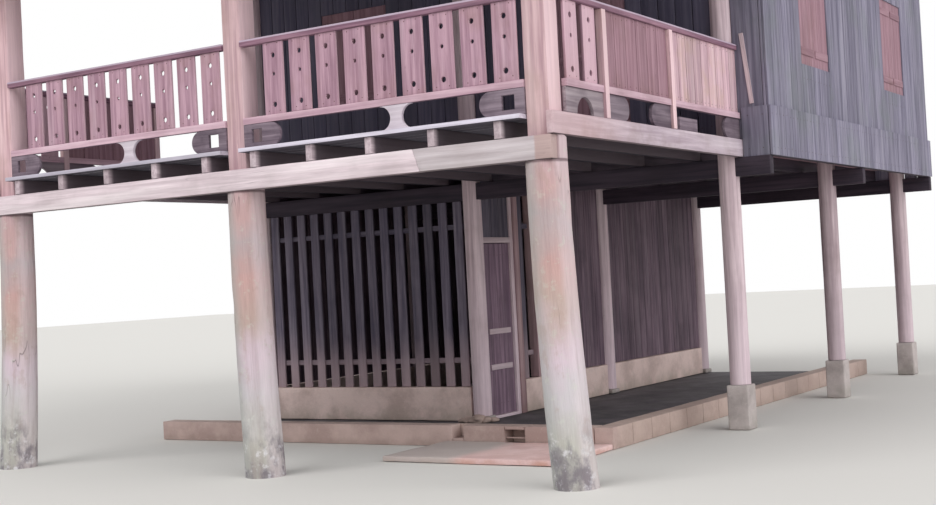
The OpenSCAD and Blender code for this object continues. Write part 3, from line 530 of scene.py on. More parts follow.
def timberPiece(name, look, nodes=(), boxes=()):
    # Timbers from CAD nodes or boxes, each sliced along its length, bowed and worn.
    rng = random.Random(look.get("seed", 3))
    bm = rounded(look, nodes, boxes)
    grainLayer, toneLayer = grainLayers(bm)
    wear, bow = look["wear"], look["bow"]
    for group in list(islands(bm)):
        faces = {face for vert in group for face in vert.link_faces}
        edges = {edge for vert in group for edge in vert.link_edges}
        longest = max(edges, key=lambda edge: edge.calc_length())
        along = (longest.verts[1].co - longest.verts[0].co).normalized()
        if max(along, key=abs) < 0:
            along = -along
        across = along.orthogonal().normalized()
        if abs(along.z) < 0.9:
            across = Vector((0, 0, 1)).cross(along).normalized()
        third = along.cross(across)
        reach = [vert.co.dot(along) for vert in group]
        first, last = min(reach), max(reach)
        geom = list(group) + list(edges) + list(faces)
        count = int((last - first) / look["step"])
        for k in range(1, count + 1):
            at = first + (last - first) * k / (count + 1)
            cut = bmesh.ops.bisect_plane(bm, geom=geom, dist=1e-6, plane_co=along * at, plane_no=along)
            geom = cut["geom"]
        shift = Vector((rng.uniform(0, 40), rng.uniform(0, 40), rng.uniform(0, 40)))
        tone = rng.random()
        verts = [item for item in geom if isinstance(item, bmesh.types.BMVert)]
        middle = sum((vert.co for vert in verts), Vector()) / len(verts)
        least = [min(vert.co[k] for vert in verts) for k in range(3)]
        most = [max(vert.co[k] for vert in verts) for k in range(3)]
        bowed = rng.uniform(-bow, bow)
        for vert in verts:
            t = vert.co.dot(along)
            vert[grainLayer] = Vector((t, vert.co.dot(across), vert.co.dot(third))) + shift
            vert[toneLayer] = tone
            inward = middle - vert.co
            inward -= along * inward.dot(along)
            if inward.length > 1e-6:
                inward.normalize()
            rub = 0.5 + 0.5 * noise.noise(vert.co * 6.0 + shift)
            curve = math.sin(math.pi * (t - first) / max(0.01, last - first)) * bowed
            vert.co += inward * (wear * rub) + third * (curve * 0.5)
            if bow == 0.0:      # wear never takes a timber past its own ends
                vert.co = Vector([min(max(vert.co[k], least[k]), most[k]) for k in range(3)])
    return closeMesh(bm, name, look["finish"])


def joined(name, pieces):
    if len(pieces) > 1:
        with bpy.context.temp_override(active_object=pieces[0], object=pieces[0],
                                       selected_objects=pieces, selected_editable_objects=pieces):
            bpy.ops.object.join()
    pieces[0].name = name
    pieces[0].data.name = name
    return pieces[0]


def newTree(name, inputs):
    tree = bpy.data.node_groups.new(name, "GeometryNodeTree")
    tree.interface.new_socket("Geometry", in_out="OUTPUT", socket_type="NodeSocketGeometry")
    for label, kind, value in inputs:
        item = tree.interface.new_socket(label, in_out="INPUT", socket_type="NodeSocket" + kind)
        if value is not None:
            item.default_value = value
    wire = Wire(tree)
    entry = tree.nodes.new("NodeGroupInput")
    given = {item.name: Wire(tree, entry.outputs[item.name]) for item in tree.interface.items_tree
             if item.in_out == "INPUT"}
    return tree, wire, given


def closeTree(wire, geometry, finish):
    real = wire.node("GeometryNodeSetMaterial", None, {"Geometry": geometry, "Material": finish})
    end = wire.tree.nodes.new("NodeGroupOutput")
    wire.tree.links.new(real.socket, end.inputs[0])


def grown(tree, name, **inputs):
    # Runs a tree on an empty mesh and keeps the plain mesh that it makes.
    host = linked(name, bpy.data.meshes.new(name))
    modifier = host.modifiers.new("tree", "NODES")
    modifier.node_group = tree
    for item in tree.interface.items_tree:
        if item.item_type == "SOCKET" and item.in_out == "INPUT" and item.name in inputs:
            modifier[item.identifier] = inputs[item.name]
    graph = bpy.context.evaluated_depsgraph_get()
    mesh = bpy.data.meshes.new_from_object(host.evaluated_get(graph), preserve_all_data_layers=True,
                                           depsgraph=graph)
    host.modifiers.remove(modifier)
    host.data = mesh
    return host


def stored(wire, geometry, name, value, kind="FLOAT_VECTOR", domain="POINT"):
    return wire.node("GeometryNodeStoreNamedAttribute", {"data_type": kind, "domain": domain},
                     {"Geometry": geometry, "Name": name, "Value": value})


def storeGrain(wire, geometry):
    # Adds each board's own shift to its grain, after the instances are made real.
    grain, shift = (wire.node("GeometryNodeInputNamedAttribute", {"data_type": "FLOAT_VECTOR"},
                              {"Name": name}) for name in ("grain", "shift"))
    both = wire.node("ShaderNodeVectorMath", {"operation": "ADD"}, {0: grain, 1: shift})
    return stored(wire, geometry, "grain", both)


def randomOf(wire, kind, low, high, seed):
    first = {"FLOAT_VECTOR": 0, "FLOAT": 2, "INT": 4}[kind]
    out = {"FLOAT_VECTOR": 0, "FLOAT": 1, "INT": 2}[kind]
    return wire.node("FunctionNodeRandomValue", {"data_type": kind},
                     {first: low, first + 1: high, "Seed": seed}, out=out)


def toned(wire, instances, seed):
    shift = randomOf(wire, "FLOAT_VECTOR", (0.0, 0.0, 0.0), (40.0, 40.0, 40.0), seed)
    tone = randomOf(wire, "FLOAT", 0.0, 1.0, seed + 7.0)
    marked = stored(wire, instances, "shift", shift, domain="INSTANCE")
    return stored(wire, marked, "tone", tone, "FLOAT", "INSTANCE")


def unsettled(wire, row, slack, turn, seed, later=3.0):
    # Moves and turns each instance a little; slack and turn are the lowest and highest triples.
    row = wire.node("GeometryNodeTranslateInstances", None,
                    {"Instances": row, "Translation": randomOf(wire, "FLOAT_VECTOR", *slack, seed)})
    return wire.node("GeometryNodeRotateInstances", None,
                     {"Instances": row, "Rotation": randomOf(wire, "FLOAT_VECTOR", *turn, seed + later)})


def worn(wire, geometry, depth):
    position = wire.node("GeometryNodeInputPosition")
    normal = wire.node("GeometryNodeInputNormal")
    rub = position.noise(7.0, 2.0)
    amount = rub * depth * -1.0
    offset = wire.node("ShaderNodeVectorMath", {"operation": "SCALE"}, {0: normal, 3: amount})
    return wire.node("GeometryNodeSetPosition", None, {"Geometry": geometry, "Offset": offset})


def makeBoardRow():
    # Upright boards side by side along x: each has its front face at y 0 and its foot at z 0.
    tree, wire, given = newTree("board row", [
        ("Count", "Int", 5), ("Pitch", "Float", 0.2), ("Width", "Float", 0.19),
        ("Thickness", "Float", 0.024), ("Length", "Float", 2.0), ("Edge", "Float", 0.003),
        ("Slices", "Int", 8), ("Slack", "Float", 0.004), ("Tilt", "Float", 0.003),
        ("Wear", "Float", 0.002), ("Seed", "Int", 1), ("Finish", "Material", None)])
    top = wire.triple(z=given["Length"])
    spine = wire.node("GeometryNodeCurvePrimitiveLine", None, {"End": top})
    spine = wire.node("GeometryNodeResampleCurve", {"mode": "COUNT"},
                      {"Curve": spine, "Count": given["Slices"]})
    section = wire.node("GeometryNodeCurvePrimitiveQuadrilateral", {"mode": "RECTANGLE"},
                        {"Width": given["Width"], "Height": given["Thickness"]})
    section = wire.node("GeometryNodeFilletCurve", {"mode": "POLY"},
                        {"Curve": section, "Radius": given["Edge"], "Count": 2})
    board = wire.node("GeometryNodeCurveToMesh", None,
                      {"Curve": spine, "Profile Curve": section, "Fill Caps": True})
    # the line's frame can turn the section, so its sides are told apart by size
    position = wire.node("GeometryNodeInputPosition")
    flat = wire.triple(position.part("Z"), position.part("X"), position.part("Y"))
    board = stored(wire, board, "grain", flat)
    step = wire.triple(given["Pitch"])
    start = wire.triple(given["Pitch"] * 0.5, given["Thickness"] * 0.5)
    line = wire.node("GeometryNodeMeshLine", {"mode": "OFFSET"},
                     {"Count": given["Count"], "Start Location": start, "Offset": step})
    row = wire.node("GeometryNodeInstanceOnPoints", None, {"Points": line, "Instance": board})
    slack = (wire.triple(y=0.0, z=given["Slack"] * -1.0), wire.triple(y=given["Slack"] * 0.35, z=0.0))
    turn = (wire.triple(y=given["Tilt"] * -1.0), wire.triple(y=given["Tilt"]))
    row = unsettled(wire, row, slack, turn, given["Seed"])
    row = toned(wire, row, given["Seed"])
    real = wire.node("GeometryNodeRealizeInstances", None, {"Geometry": row})
    real = storeGrain(wire, real)
    real = worn(wire, real, given["Wear"])
    closeTree(wire, real, given["Finish"])
    return tree


boardRow = makeBoardRow()
nail = {"radius": 0.0045, "high": 0.0015, "sides": 8}


def nailMesh():
    # A flat domed head that looks towards -y
    bm = bmesh.new()
    bmesh.ops.create_cone(bm, cap_ends=True, segments=nail["sides"], radius1=nail["radius"],
                          radius2=nail["radius"] * 0.6, depth=nail["high"])
    bmesh.ops.rotate(bm, verts=bm.verts, matrix=Matrix.Rotation(math.pi / 2, 3, "X"))
    return closeMesh(bm, "pattern_nail")


def makeNailField():
    # Pairs of nails at each board, in rows one above the other
    tree, wire, given = newTree("nail field", [
        ("Nail", "Object", None), ("Boards", "Int", 5), ("Rows", "Int", 2), ("Pitch", "Float", 0.2),
        ("Low", "Float", 0.1), ("High", "Float", 1.0), ("Apart", "Float", 0.1), ("Slack", "Float", 0.008),
        ("Seed", "Int", 1), ("Finish", "Material", None)])
    shape = wire.node("GeometryNodeObjectInfo", None, {"Object": given["Nail"]}, out="Geometry")
    wide = (given["Boards"] - 1.0) * given["Pitch"]
    tall = given["High"] - given["Low"]
    grid = wire.node("GeometryNodeMeshGrid", None, {"Size X": wide, "Size Y": tall,
                     "Vertices X": given["Boards"], "Vertices Y": given["Rows"]})
    upright = wire.triple(math.pi / 2)
    half = wire.node("GeometryNodeTransform", None, {"Geometry": grid, "Rotation": upright})
    both = wire.tree.nodes.new("GeometryNodeJoinGeometry")
    sunk, middle = -nail["high"] * 0.4, (given["High"] + given["Low"]) * 0.5
    for side in (-0.5, 0.5):
        away = wire.triple(wide * 0.5 + given["Pitch"] * 0.5 + given["Apart"] * side, sunk, middle)
        moved = wire.node("GeometryNodeSetPosition", None, {"Geometry": half, "Offset": away})
        wire.tree.links.new(moved.socket, both.inputs[0])
    low = wire.triple(given["Slack"] * -1.0, z=given["Slack"] * -1.0)
    high = wire.triple(given["Slack"], z=given["Slack"])
    heads = wire.node("GeometryNodeInstanceOnPoints", None,
                      {"Points": Wire(wire.tree, both.outputs[0]), "Instance": shape})
    heads = wire.node("GeometryNodeTranslateInstances", None, {"Instances": heads,
                      "Translation": randomOf(wire, "FLOAT_VECTOR", low, high, given["Seed"])})
    real = wire.node("GeometryNodeRealizeInstances", None, {"Geometry": heads})
    closeTree(wire, real, given["Finish"])
    return tree


patternNail = nailMesh()
nailField = makeNailField()


def nailed(piece, matrix, count, pitch, width, heights, seed):
    # Adds nail heads to a row of boards whose front faces lie at y 0.
    heads = grown(nailField, "nails", Nail=patternNail, Boards=count, Rows=len(heights), Pitch=pitch,
                  Low=heights[0], High=heights[-1], Apart=width * 0.55, Slack=0.007, Seed=seed,
                  Finish=nailIron)
    heads.data.transform(matrix)
    finishMesh(heads.data, None, 50.0)
    return joined(piece.name, [piece, heads])


def turned(x, y, z, degrees=0.0):
    return Matrix.Translation(Vector((x, y, z)) + origin) @ Matrix.Rotation(math.radians(degrees), 4, "Z")


# Turns an upright row of boards to a flat one.
laidDown = Matrix(((0, 0, 1, 0), (1, 0, 0, 0), (0, -1, 0, 0), (0, 0, 0, 1)))


def boards(name, matrix, look, width, length, seed):
    # Fills a stretch of that width with boards of the look's usual width.
    count = max(1, round(width / look["board"]))
    pitch = width / count
    piece = grown(boardRow, name, Count=count, Pitch=pitch, Width=pitch - look["gap"],
                  Thickness=look["thick"], Length=length, Edge=look.get("edge", 0.003),
                  Slices=max(3, int(length / 0.35)), Slack=look.get("slack", 0.004),
                  Tilt=look.get("tilt", 0.002), Wear=look.get("wear", 0.002), Seed=seed,
                  Finish=look["finish"])
    piece.data.transform(matrix)
    finishMesh(piece.data, None)
    if "nails" in look:
        heights = [at if at >= 0 else length + at for at in look["nails"]]
        piece = nailed(piece, matrix, count, pitch, pitch - look["gap"], heights, seed)
    return piece


# Posts
trunk = {"topRadius": 0.159, "footRadius": 0.172, "sweep": 0.09, "sides": 72, "rings": 64,
         "notchBack": 0.065, "squareTop": 4.6577, "square": 0.1, "lump": 0.006, "knots": 5}


def skinned(bm, rings):
    # Walls between rings of vertices, with a flat end below and above
    for low, high in zip(rings, rings[1:]):
        for k in range(len(low)):
            n = (k + 1) % len(low)
            bm.faces.new((low[k], low[n], high[n], high[k]))
    bm.faces.new(reversed(rings[0]))
    bm.faces.new(rings[-1])


def roundTrunk(name, x, reach, seed):
    # Sawn ends, a swept foot, a notch for the front beam and a shoulder under the squared part.
    rng = random.Random(seed)
    knots = [(rng.uniform(0, 2 * math.pi), rng.uniform(0.3, 2.2), rng.uniform(0.04, 0.09),
              rng.uniform(0.004, 0.01)) for k in range(trunk["knots"])]
    bm = bmesh.new()
    grainLayer, toneLayer = grainLayers(bm)
    levels = [(girderLow * k / trunk["rings"], False, 0.0) for k in range(trunk["rings"] + 1)]
    levels += [(girderLow, True, 0.0), (2.49, True, 0.0), (2.565, True, 0.0), (girderTop, True, 0.012)]
    rings = []
    for z, notched, inset in levels:
        t = z / girderTop
        swept = reach * (1 - t) ** 2.2
        radius = trunk["footRadius"] + (trunk["topRadius"] - trunk["footRadius"]) * t ** 0.8
        ring = []
        for k in range(trunk["sides"]):
            a = 2 * math.pi * k / trunk["sides"]
            deg = math.degrees(a)
            lobe = 1 + 0.012 * math.sin(math.radians(3 * deg + 200 * t)) + 0.01 * math.sin(
                math.radians(2 * deg - 130 * t))
            rough = noise.noise(Vector((math.cos(a) * 1.6, math.sin(a) * 1.6, z * 1.5 + seed)))
            fine = noise.noise(Vector((math.cos(a) * 9, math.sin(a) * 9, z * 3.5 + seed)))
            r = radius * lobe - trunk["lump"] * (0.5 + 0.5 * rough) - 0.0025 * abs(fine) - inset
            for angle, at, size, depth in knots:
                turn = math.atan2(math.sin(a - angle), math.cos(a - angle)) * radius
                r -= depth * math.exp(-((turn ** 2 + ((z - at) * 0.7) ** 2) / (size * size)))
            point = Vector((swept * 0.85 + r * math.cos(a), swept * 0.5 + r * math.sin(a), z))
            if notched:
                point.y = max(point.y, -trunk["notchBack"])
            vert = bm.verts.new(point + Vector((x, 0, 0)) + origin)
            vert[grainLayer] = Vector((z + seed * 3.1, r * math.cos(a), r * math.sin(a) + seed))
            vert[toneLayer] = 0.5
            ring.append(vert)
        rings.append(ring)
    skinned(bm, rings)
    bmesh.ops.remove_doubles(bm, verts=bm.verts, dist=1e-5)
    return closeMesh(bm, name, trunkWood, 40.0)


upperPost = {"finish": postWood, "edge": 0.012, "wear": 0.006, "bow": 0.0, "step": 0.12, "seed": 21}


def frontPost(name, places):
    pieces = []
    for k, (x, reach) in enumerate(places):
        pieces.append(roundTrunk(name, x, reach, k * 7 + len(places)))
        half = trunk["square"]
        pieces.append(timberPiece(name, dict(upperPost, seed=21 + k), boxes=[
            ((x - half, -half, girderTop - 0.01), (x + half, half, trunk["squareTop"]))]))
    return joined(name, pieces)


settle(frontPost("corner_trunk", [(0.0, trunk["sweep"])]), "trunk_wood", ["corner_post"])
settle(frontPost("front_trunks", [(-bay, trunk["sweep"] / 2), (leftX, -trunk["sweep"])]),
       "trunk_wood", ["front_posts"])

roundPost = {"radius": 0.1, "sides": 36, "step": 0.12, "lump": 0.004, "top": 5.55,
             "footHigh": 0.43, "footLow": 0.11}


def roundPosts(name):
    bm = bmesh.new()
    grainLayer, toneLayer = grainLayers(bm)
    rng = random.Random(5)
    for y in rows[1:]:
        for x in (0.0, -bay, leftX):
            foot = roundPost["footHigh"] if x == 0.0 else roundPost["footLow"]
            tone, shift = rng.random(), rng.uniform(0, 30)
            count = int((roundPost["top"] - foot) / roundPost["step"])
            rings = []
            for i in range(count + 1):
                z = foot + (roundPost["top"] - foot) * i / count
                ring = []
                for k in range(roundPost["sides"]):
                    a = 2 * math.pi * k / roundPost["sides"]
                    uneven = noise.noise(Vector((math.cos(a) * 1.4, math.sin(a) * 1.4, z * 1.3 + shift)))
                    r = roundPost["radius"] - roundPost["lump"] * (0.5 + 0.5 * uneven)
                    vert = bm.verts.new(Vector((x + r * math.cos(a), y + r * math.sin(a), z)) + origin)
                    vert[grainLayer] = Vector((z + shift, r * math.cos(a), r * math.sin(a) + shift))
                    vert[toneLayer] = tone
                    ring.append(vert)
                rings.append(ring)
            skinned(bm, rings)
    return closeMesh(bm, name, roundWood, 40.0)


settle(roundPosts("round_posts"), "post_wood", ["body_posts"])
print("posts made")

# Floor frame and roof frame: copies of the CAD timbers, rounded and worn.
# Each row: name, slot, node, finish, rounding of the edges, wear, length of a slice, bow and seed
frameTimbers = [
    ("beam_near", "pale_timber", "front_beam_near", nearBeamWood, 0.006, 0.004, 0.1, 0.0, 4),
    ("beam_far", "pale_timber", "front_beam_far", beamWood, 0.006, 0.004, 0.14, 0.0, 9),
    ("girders", "grey_timber", "cross_beams", girderWood, 0.006, 0.003, 0.3, 0.0, 12),
    ("front_joists", "pale_timber", "verandah_joists", joistWood, 0.004, 0.002, 0.3, 0.002, 14),
    ("room_joists", "grey_timber", "body_joists", girderWood, 0.004, 0.002, 0.4, 0.002, 15),
    ("side_joists", "pale_timber", "edge_joists", sideBeamWood, 0.006, 0.004, 0.12, 0.0, 16),
    ("front_rails", "mauve_timber", "front_top_rails", railWood, 0.005, 0.003, 0.12, 0.002, 17),
    ("side_rails", "mauve_timber", "side_top_rails", railWood, 0.005, 0.003, 0.12, 0.0, 18),
    ("low_rails", "mauve_timber", "bottom_rails", lowRailWood, 0.004, 0.003, 0.12, 0.002, 19),
    ("side_small_posts", "mauve_timber", "side_bay_posts", postWood, 0.004, 0.002, 0.12, 0.0, 20),
    ("studs", "post_wood", "wall_studs", studWood, 0.006, 0.004, 0.2, 0.0, 23),
    ("plates", "dark_timber", "roof_plates", roofWood, 0.004, 0.002, 0.5, 0.0, 25),
    ("ties", "dark_timber", "tie_beams", roofWood, 0.004, 0.002, 0.5, 0.0, 26),
    ("ridge_posts", "dark_timber", "king_posts", roofWood, 0.004, 0.002, 0.3, 0.0, 27),
    ("ridge_timber", "dark_timber", "ridge_board", roofWood, 0.003, 0.001, 0.5, 0.0, 28),
    ("long_rafters", "dark_timber", "main_rafters", roofWood, 0.003, 0.002, 0.4, 0.0, 29),
    ("short_rafters", "dark_timber", "verandah_rafters", roofWood, 0.003, 0.002, 0.4, 0.0, 30),
]
for name, slot, node, finish, edge, wear, step, bow, seed in frameTimbers:
    look = {"finish": finish, "edge": edge, "wear": wear, "step": step, "bow": bow, "seed": seed}
    settle(timberPiece(name, look, [node]), slot, [node])

# The gable's edge boards meet in a joint at the ridge.
edgeBoard = {"finish": greyWood, "edge": 0.004, "wear": 0.003, "step": 0.2, "bow": 0.0}
edgeBoards = [timberPiece("edge", dict(edgeBoard, seed=31 + k, cut=((0, rows[2] - 0.0005 * side, 0),
                                                                  Vector((0, side, 0)))), ["barge_boards"])
              for k, side in enumerate((1, -1))]
settle(joined("gable_edge_boards", edgeBoards), "pale_timber", ["barge_boards"])

# Slats stand on the low wall and are nailed to two rails; one more stands beside the door.
lowWallTop = 0.42
slatLook = {"finish": slatWood, "edge": 0.003, "wear": 0.004, "step": 0.2, "bow": 0.008, "seed": 22}
slat = {"first": -5.6725, "pitch": 0.195, "width": 0.11, "thick": 0.025, "count": 14,
        "rails": (0.67, 2.1), "railHigh": 0.06, "byDoor": 4.482}
slatBoxes = []
for k in range(slat["count"]):
    x = slat["first"] + slat["pitch"] * k
    slatBoxes.append(((x, rows[1] - slat["thick"], lowWallTop), (x + slat["width"], rows[1], girderLow)))
slatBoxes.append(((-bay, slat["byDoor"], lowWallTop),
                  (-bay + slat["thick"], slat["byDoor"] + slat["width"], joistTop)))
for z in slat["rails"]:
    slatBoxes.append(((-5.7, rows[1], z), (-3.0, rows[1] + slat["thick"], z + slat["railHigh"])))
    slatBoxes.append(((-bay - slat["thick"], 4.457, z), (-bay, 4.757, z + slat["railHigh"])))
overDoor = {"finish": slatWood, "board": 0.2, "gap": 0.004, "thick": slat["thick"], "slack": 0.0, "tilt": 0.0,
            "low": 2.003, "wide": 0.587}
slats = [timberPiece("slats", slatLook, boxes=slatBoxes),
         boards("over_door", turned(-bay + slat["thick"], 3.7, overDoor["low"], 90), overDoor,
                overDoor["wide"], joistTop - overDoor["low"], 24)]
settle(joined("slats", slats), "dark_timber", ["slat_walls"])

# The jamb is one box; sill and head keep the bores of the leaf's pivots.
slabTop = 0.05
doorFrame = {"finish": roundWood, "edge": 0.002, "wear": 0.001, "step": 0.2, "bow": 0.0, "seed": 24,
             "half": 0.04, "jamb": (4.287, 4.347)}
jamb = timberPiece("jamb", doorFrame, boxes=[
    ((-bay - doorFrame["half"], doorFrame["jamb"][0], slabTop),
     (-bay + doorFrame["half"], doorFrame["jamb"][1], joistTop))])
head = timberPiece("head", dict(doorFrame, cut=((0, doorFrame["jamb"][0] - 0.0005, 0), Vector((0, 1, 0)))),
                   ["door_frame"])
settle(joined("ground_door_frame", [jamb, head]), "dark_timber", ["door_frame"])
print("frame timbers made")

# Balustrade
pierced = {"width": 0.205, "height": 0.595, "thick": 0.022, "edge": 0.0022, "pitch": 0.27605,
           "end": 0.242, "count": 9, "out": 0.105,
           "holes": ((0.18, 0.0215), (0.44, 0.016), (0.865, 0.0225))}
floorBand = 0.195


def circleLoop(x, z, radius, sides=28, first=0.0, last=360.0):
    steps = sides if last - first >= 360.0 else sides + 1
    return [(x + radius * math.cos(math.radians(first + (last - first) * k / sides)),
             z + radius * math.sin(math.radians(first + (last - first) * k / sides))) for k in range(steps)]


def cutOut(name, loops, thick, edge, finish, seed):
    # A sawn board from closed outlines in x and z: its front face at y 0, its back at y thick.
    curve = bpy.data.curves.new(name, "CURVE")
    curve.dimensions = "2D"
    curve.fill_mode = "BOTH"
    for loop in loops:
        spline = curve.splines.new("POLY")
        spline.points.add(len(loop) - 1)
        for point, (x, z) in zip(spline.points, loop):
            point.co = (x, z, 0.0, 1.0)
        spline.use_cyclic_u = True
    curve.extrude = thick / 2 - edge
    curve.bevel_depth = edge
    curve.bevel_resolution = 1
    curve.offset = -edge
    host = linked(name, curve)
    graph = bpy.context.evaluated_depsgraph_get()
    mesh = bpy.data.meshes.new_from_object(host.evaluated_get(graph))
    bpy.data.objects.remove(host)
    bpy.data.curves.remove(curve)
    bm = bmesh.new()
    bm.from_mesh(mesh)
    bmesh.ops.remove_doubles(bm, verts=bm.verts, dist=1e-6)
    bmesh.ops.recalc_face_normals(bm, faces=bm.faces)
    rng = random.Random(seed)
    shift = Vector((rng.uniform(0, 30), rng.uniform(0, 30), rng.uniform(0, 30)))
    tone = rng.random()
    grainLayer, toneLayer = grainLayers(bm)
    for vert in bm.verts:
        x, z, out = vert.co
        vert.co = Vector((x, thick / 2 - out, z))
        vert[toneLayer] = tone
    upright = max(v.co.z for v in bm.verts) - min(v.co.z for v in bm.verts)
    wide = max(v.co.x for v in bm.verts) - min(v.co.x for v in bm.verts)
    for vert in bm.verts:
        x, y, z = vert.co
        vert[grainLayer] = (Vector((z, x, y)) if upright >= wide else Vector((x, z, y))) + shift
    bm.to_mesh(mesh)
    bm.free()
    finishMesh(mesh, finish, 30.0)
    return linked(name, mesh)


def makePieceRow():
    # Copies of one piece side by side along x.
    tree, wire, given = newTree("piece row", [
        ("Piece", "Object", None), ("Count", "Int", 9), ("Pitch", "Float", 0.27), ("Slack", "Float", 0.004),
        ("Tilt", "Float", 0.004), ("Wear", "Float", 0.001), ("Seed", "Int", 1), ("Finish", "Material", None)])
    shape = wire.node("GeometryNodeObjectInfo", None, {"Object": given["Piece"]}, out="Geometry")
    step = wire.triple(given["Pitch"])
    line = wire.node("GeometryNodeMeshLine", {"mode": "OFFSET"}, {"Count": given["Count"], "Offset": step})
    row = wire.node("GeometryNodeInstanceOnPoints", None, {"Points": line, "Instance": shape})
    slack = (wire.triple(given["Slack"] * -1.0, z=given["Slack"] * -0.5),
             wire.triple(given["Slack"], z=given["Slack"] * 0.5))
    turn = (wire.triple(y=given["Tilt"] * -1.0), wire.triple(y=given["Tilt"]))
    row = unsettled(wire, row, slack, turn, given["Seed"])
    row = toned(wire, row, given["Seed"])
    real = wire.node("GeometryNodeRealizeInstances", None, {"Geometry": row})
    real = storeGrain(wire, real)
    real = worn(wire, real, given["Wear"])
    closeTree(wire, real, given["Finish"])
    return tree


pieceRow = makePieceRow()


def rectangle(x0, z0, x1, z1):
    return [(x0, z0), (x1, z0), (x1, z1), (x0, z1)]


piercedLoops = [rectangle(0, 0, pierced["width"], pierced["height"])]
piercedLoops += [circleLoop(pierced["width"] / 2, pierced["height"] * (1 - depth), radius)
                 for depth, radius in pierced["holes"]]
piercedBoard = cutOut("pattern_board", piercedLoops, pierced["thick"], pierced["edge"], boardWood, 1)


def piercedRow(name, matrix, count, pitch, seed):
    piece = grown(pieceRow, name, Piece=piercedBoard, Count=count, Pitch=pitch, Slack=0.003, Tilt=0.006,
                  Wear=0.0008, Seed=seed, Finish=boardWood)
    piece.data.transform(matrix)
    finishMesh(piece.data, None, 30.0)
    move = matrix @ Matrix.Translation((-(pitch - pierced["width"]) / 2, 0, 0))
    return nailed(piece, move, count, pitch, pierced["width"], (0.03, pierced["height"] - 0.02), seed)


panelLow = 3.005
halfPost = 0.1
frontPieces = []
for k in range(2):
    start = -(k + 1) * bay + halfPost + pierced["end"]
    frontPieces.append(piercedRow("front", turned(start, -pierced["out"], panelLow), pierced["count"],
                                  pierced["pitch"], 31 + k))
settle(joined("pierced_boards", frontPieces), "mauve_timber", ["front_boards"])

plank = {"finish": plankWood, "board": 0.2, "gap": 0.006, "thick": 0.022, "slack": 0.0, "tilt": 0.001,
         "nails": (0.03, -0.03), "run": 1.21}
palePlank = dict(plank, finish=palePlankWood, board=0.17, gap=0.01, tilt=0.003, run=1.535)
sideRow = {"start": 0.145, "pitch": 0.296}
outX = pierced["out"] + pierced["thick"]
rowEnd = sideRow["start"] + sideRow["pitch"] + pierced["width"]
rightWay, leftWay = (outX, 90), (leftX - outX, -90)
sidePieces = []
for (x, degrees), y, look, seed in ((rightWay, sideRow["start"], None, 41), (rightWay, 0.785, plank, 43),
                                    (rightWay, 2.065, palePlank, 44), (leftWay, rowEnd, None, 45),
                                    (leftWay, 1.995, plank, 46)):
    matrix = turned(x, y, panelLow, degrees)
    if look:
        sidePieces.append(boards("side", matrix, look, look["run"], pierced["height"], seed))
    else:
        sidePieces.append(piercedRow("side", matrix, 2, sideRow["pitch"], seed))
settle(joined("side_panels", sidePieces), "mauve_timber", ["side_boards"])


def hourglassLoops():
    # A waisted board, wide at its head and foot
    half, neck, lip = 0.15, 0.05, 0.004
    radius = floorBand / 2 - lip
    middle = neck + floorBand / 2
    right = circleLoop(middle, floorBand / 2, radius, 20, 270.0, 90.0)
    left = circleLoop(-middle, floorBand / 2, radius, 20, 90.0, -90.0)
    return [[(-half, 0), (half, 0)] + right + [(half, floorBand), (-half, floorBand)] + left]


def halfLoops(length, cut):
    radius = floorBand / 2
    outer = [(0, 0), (0, floorBand)] + circleLoop(-length + radius, radius, radius, 20, 90.0, 270.0)
    loops = [outer]
    if cut:
        loops.append(rectangle(-length / 2, (floorBand - cut) / 2, -length / 2 + cut, (floorBand + cut) / 2))
    return loops


def archLoops(length):
    radius = floorBand * 0.7
    return [[(0, 0)] + circleLoop(length / 2, 0, radius, 20, 180.0, 0.0) +
            [(length, 0), (length, floorBand), (0, floorBand)]]


def flipped(loops):
    return [[(-x, z) for x, z in reversed(loop)] for loop in loops]


ornament = {"thick": 0.03, "edge": 0.003, "out": 0.11, "sideOut": 0.135, "half": 0.39, "cut": 0.11,
            "arch": 0.615}


def sawn(loops, matrix, seed, finish):
    piece = cutOut("sawn", loops, ornament["thick"], ornament["edge"], finish, seed)
    piece.data.transform(matrix)
    return piece


sawnPieces = []
cutHalf, plainHalf = halfLoops(ornament["half"], ornament["cut"]), halfLoops(ornament["half"], 0.0)
for k in range(2):
    for loops, x, seed, finish in ((hourglassLoops(), -1.25, 51, paleOrnament),
                                   (cutHalf, -halfPost, 53, shadedOrnament),
                                   (flipped(cutHalf), halfPost - bay, 55, shadedOrnament)):
        sawnPieces.append(sawn(loops, turned(x - k * bay, -ornament["out"], floorTop), seed + k, finish))
for side, degrees in ((1, 90), (-1, -90)):
    x = ornament["sideOut"] if side > 0 else leftX - ornament["sideOut"]
    plain, mirror = (plainHalf, flipped(plainHalf))[::side]
    places = [(archLoops(ornament["arch"]), 0.1 if side > 0 else 0.715, sideOrnament),
              (mirror, 0.785, shadedOrnament), (plain, 1.995, shadedOrnament)]
    if side > 0:
        places += [([rectangle(0, 0, ornament["half"], floorBand * 0.6)], 2.175, shadedOrnament),
                   (plain, rows[1], shadedOrnament)]
    for k, (loops, y, finish) in enumerate(places):
        sawnPieces.append(sawn(loops, turned(x, y, floorTop, degrees), 61 + k, finish))
settle(joined("sawn_ornaments", sawnPieces), "pale_timber", ["band_ornaments"])
bpy.data.objects.remove(piercedBoard)
print("balustrade made")

# Floors
floorBoard = {"finish": deckWood, "board": 0.152, "gap": 0.004, "thick": 0.035, "slack": 0.006, "tilt": 0.0}
roomBoard = dict(floorBoard, finish=plankWood, board=0.18)
floorLeft, floorSeam = -5.9, -3.1


def laid(x0, x1, y0, y1, low, look, seed):
    # Boards that run along x, side by side towards the back.
    return boards("laid", turned(x0, y0, low + look["thick"]) @ laidDown, look, y1 - y0, x1 - x0, seed)


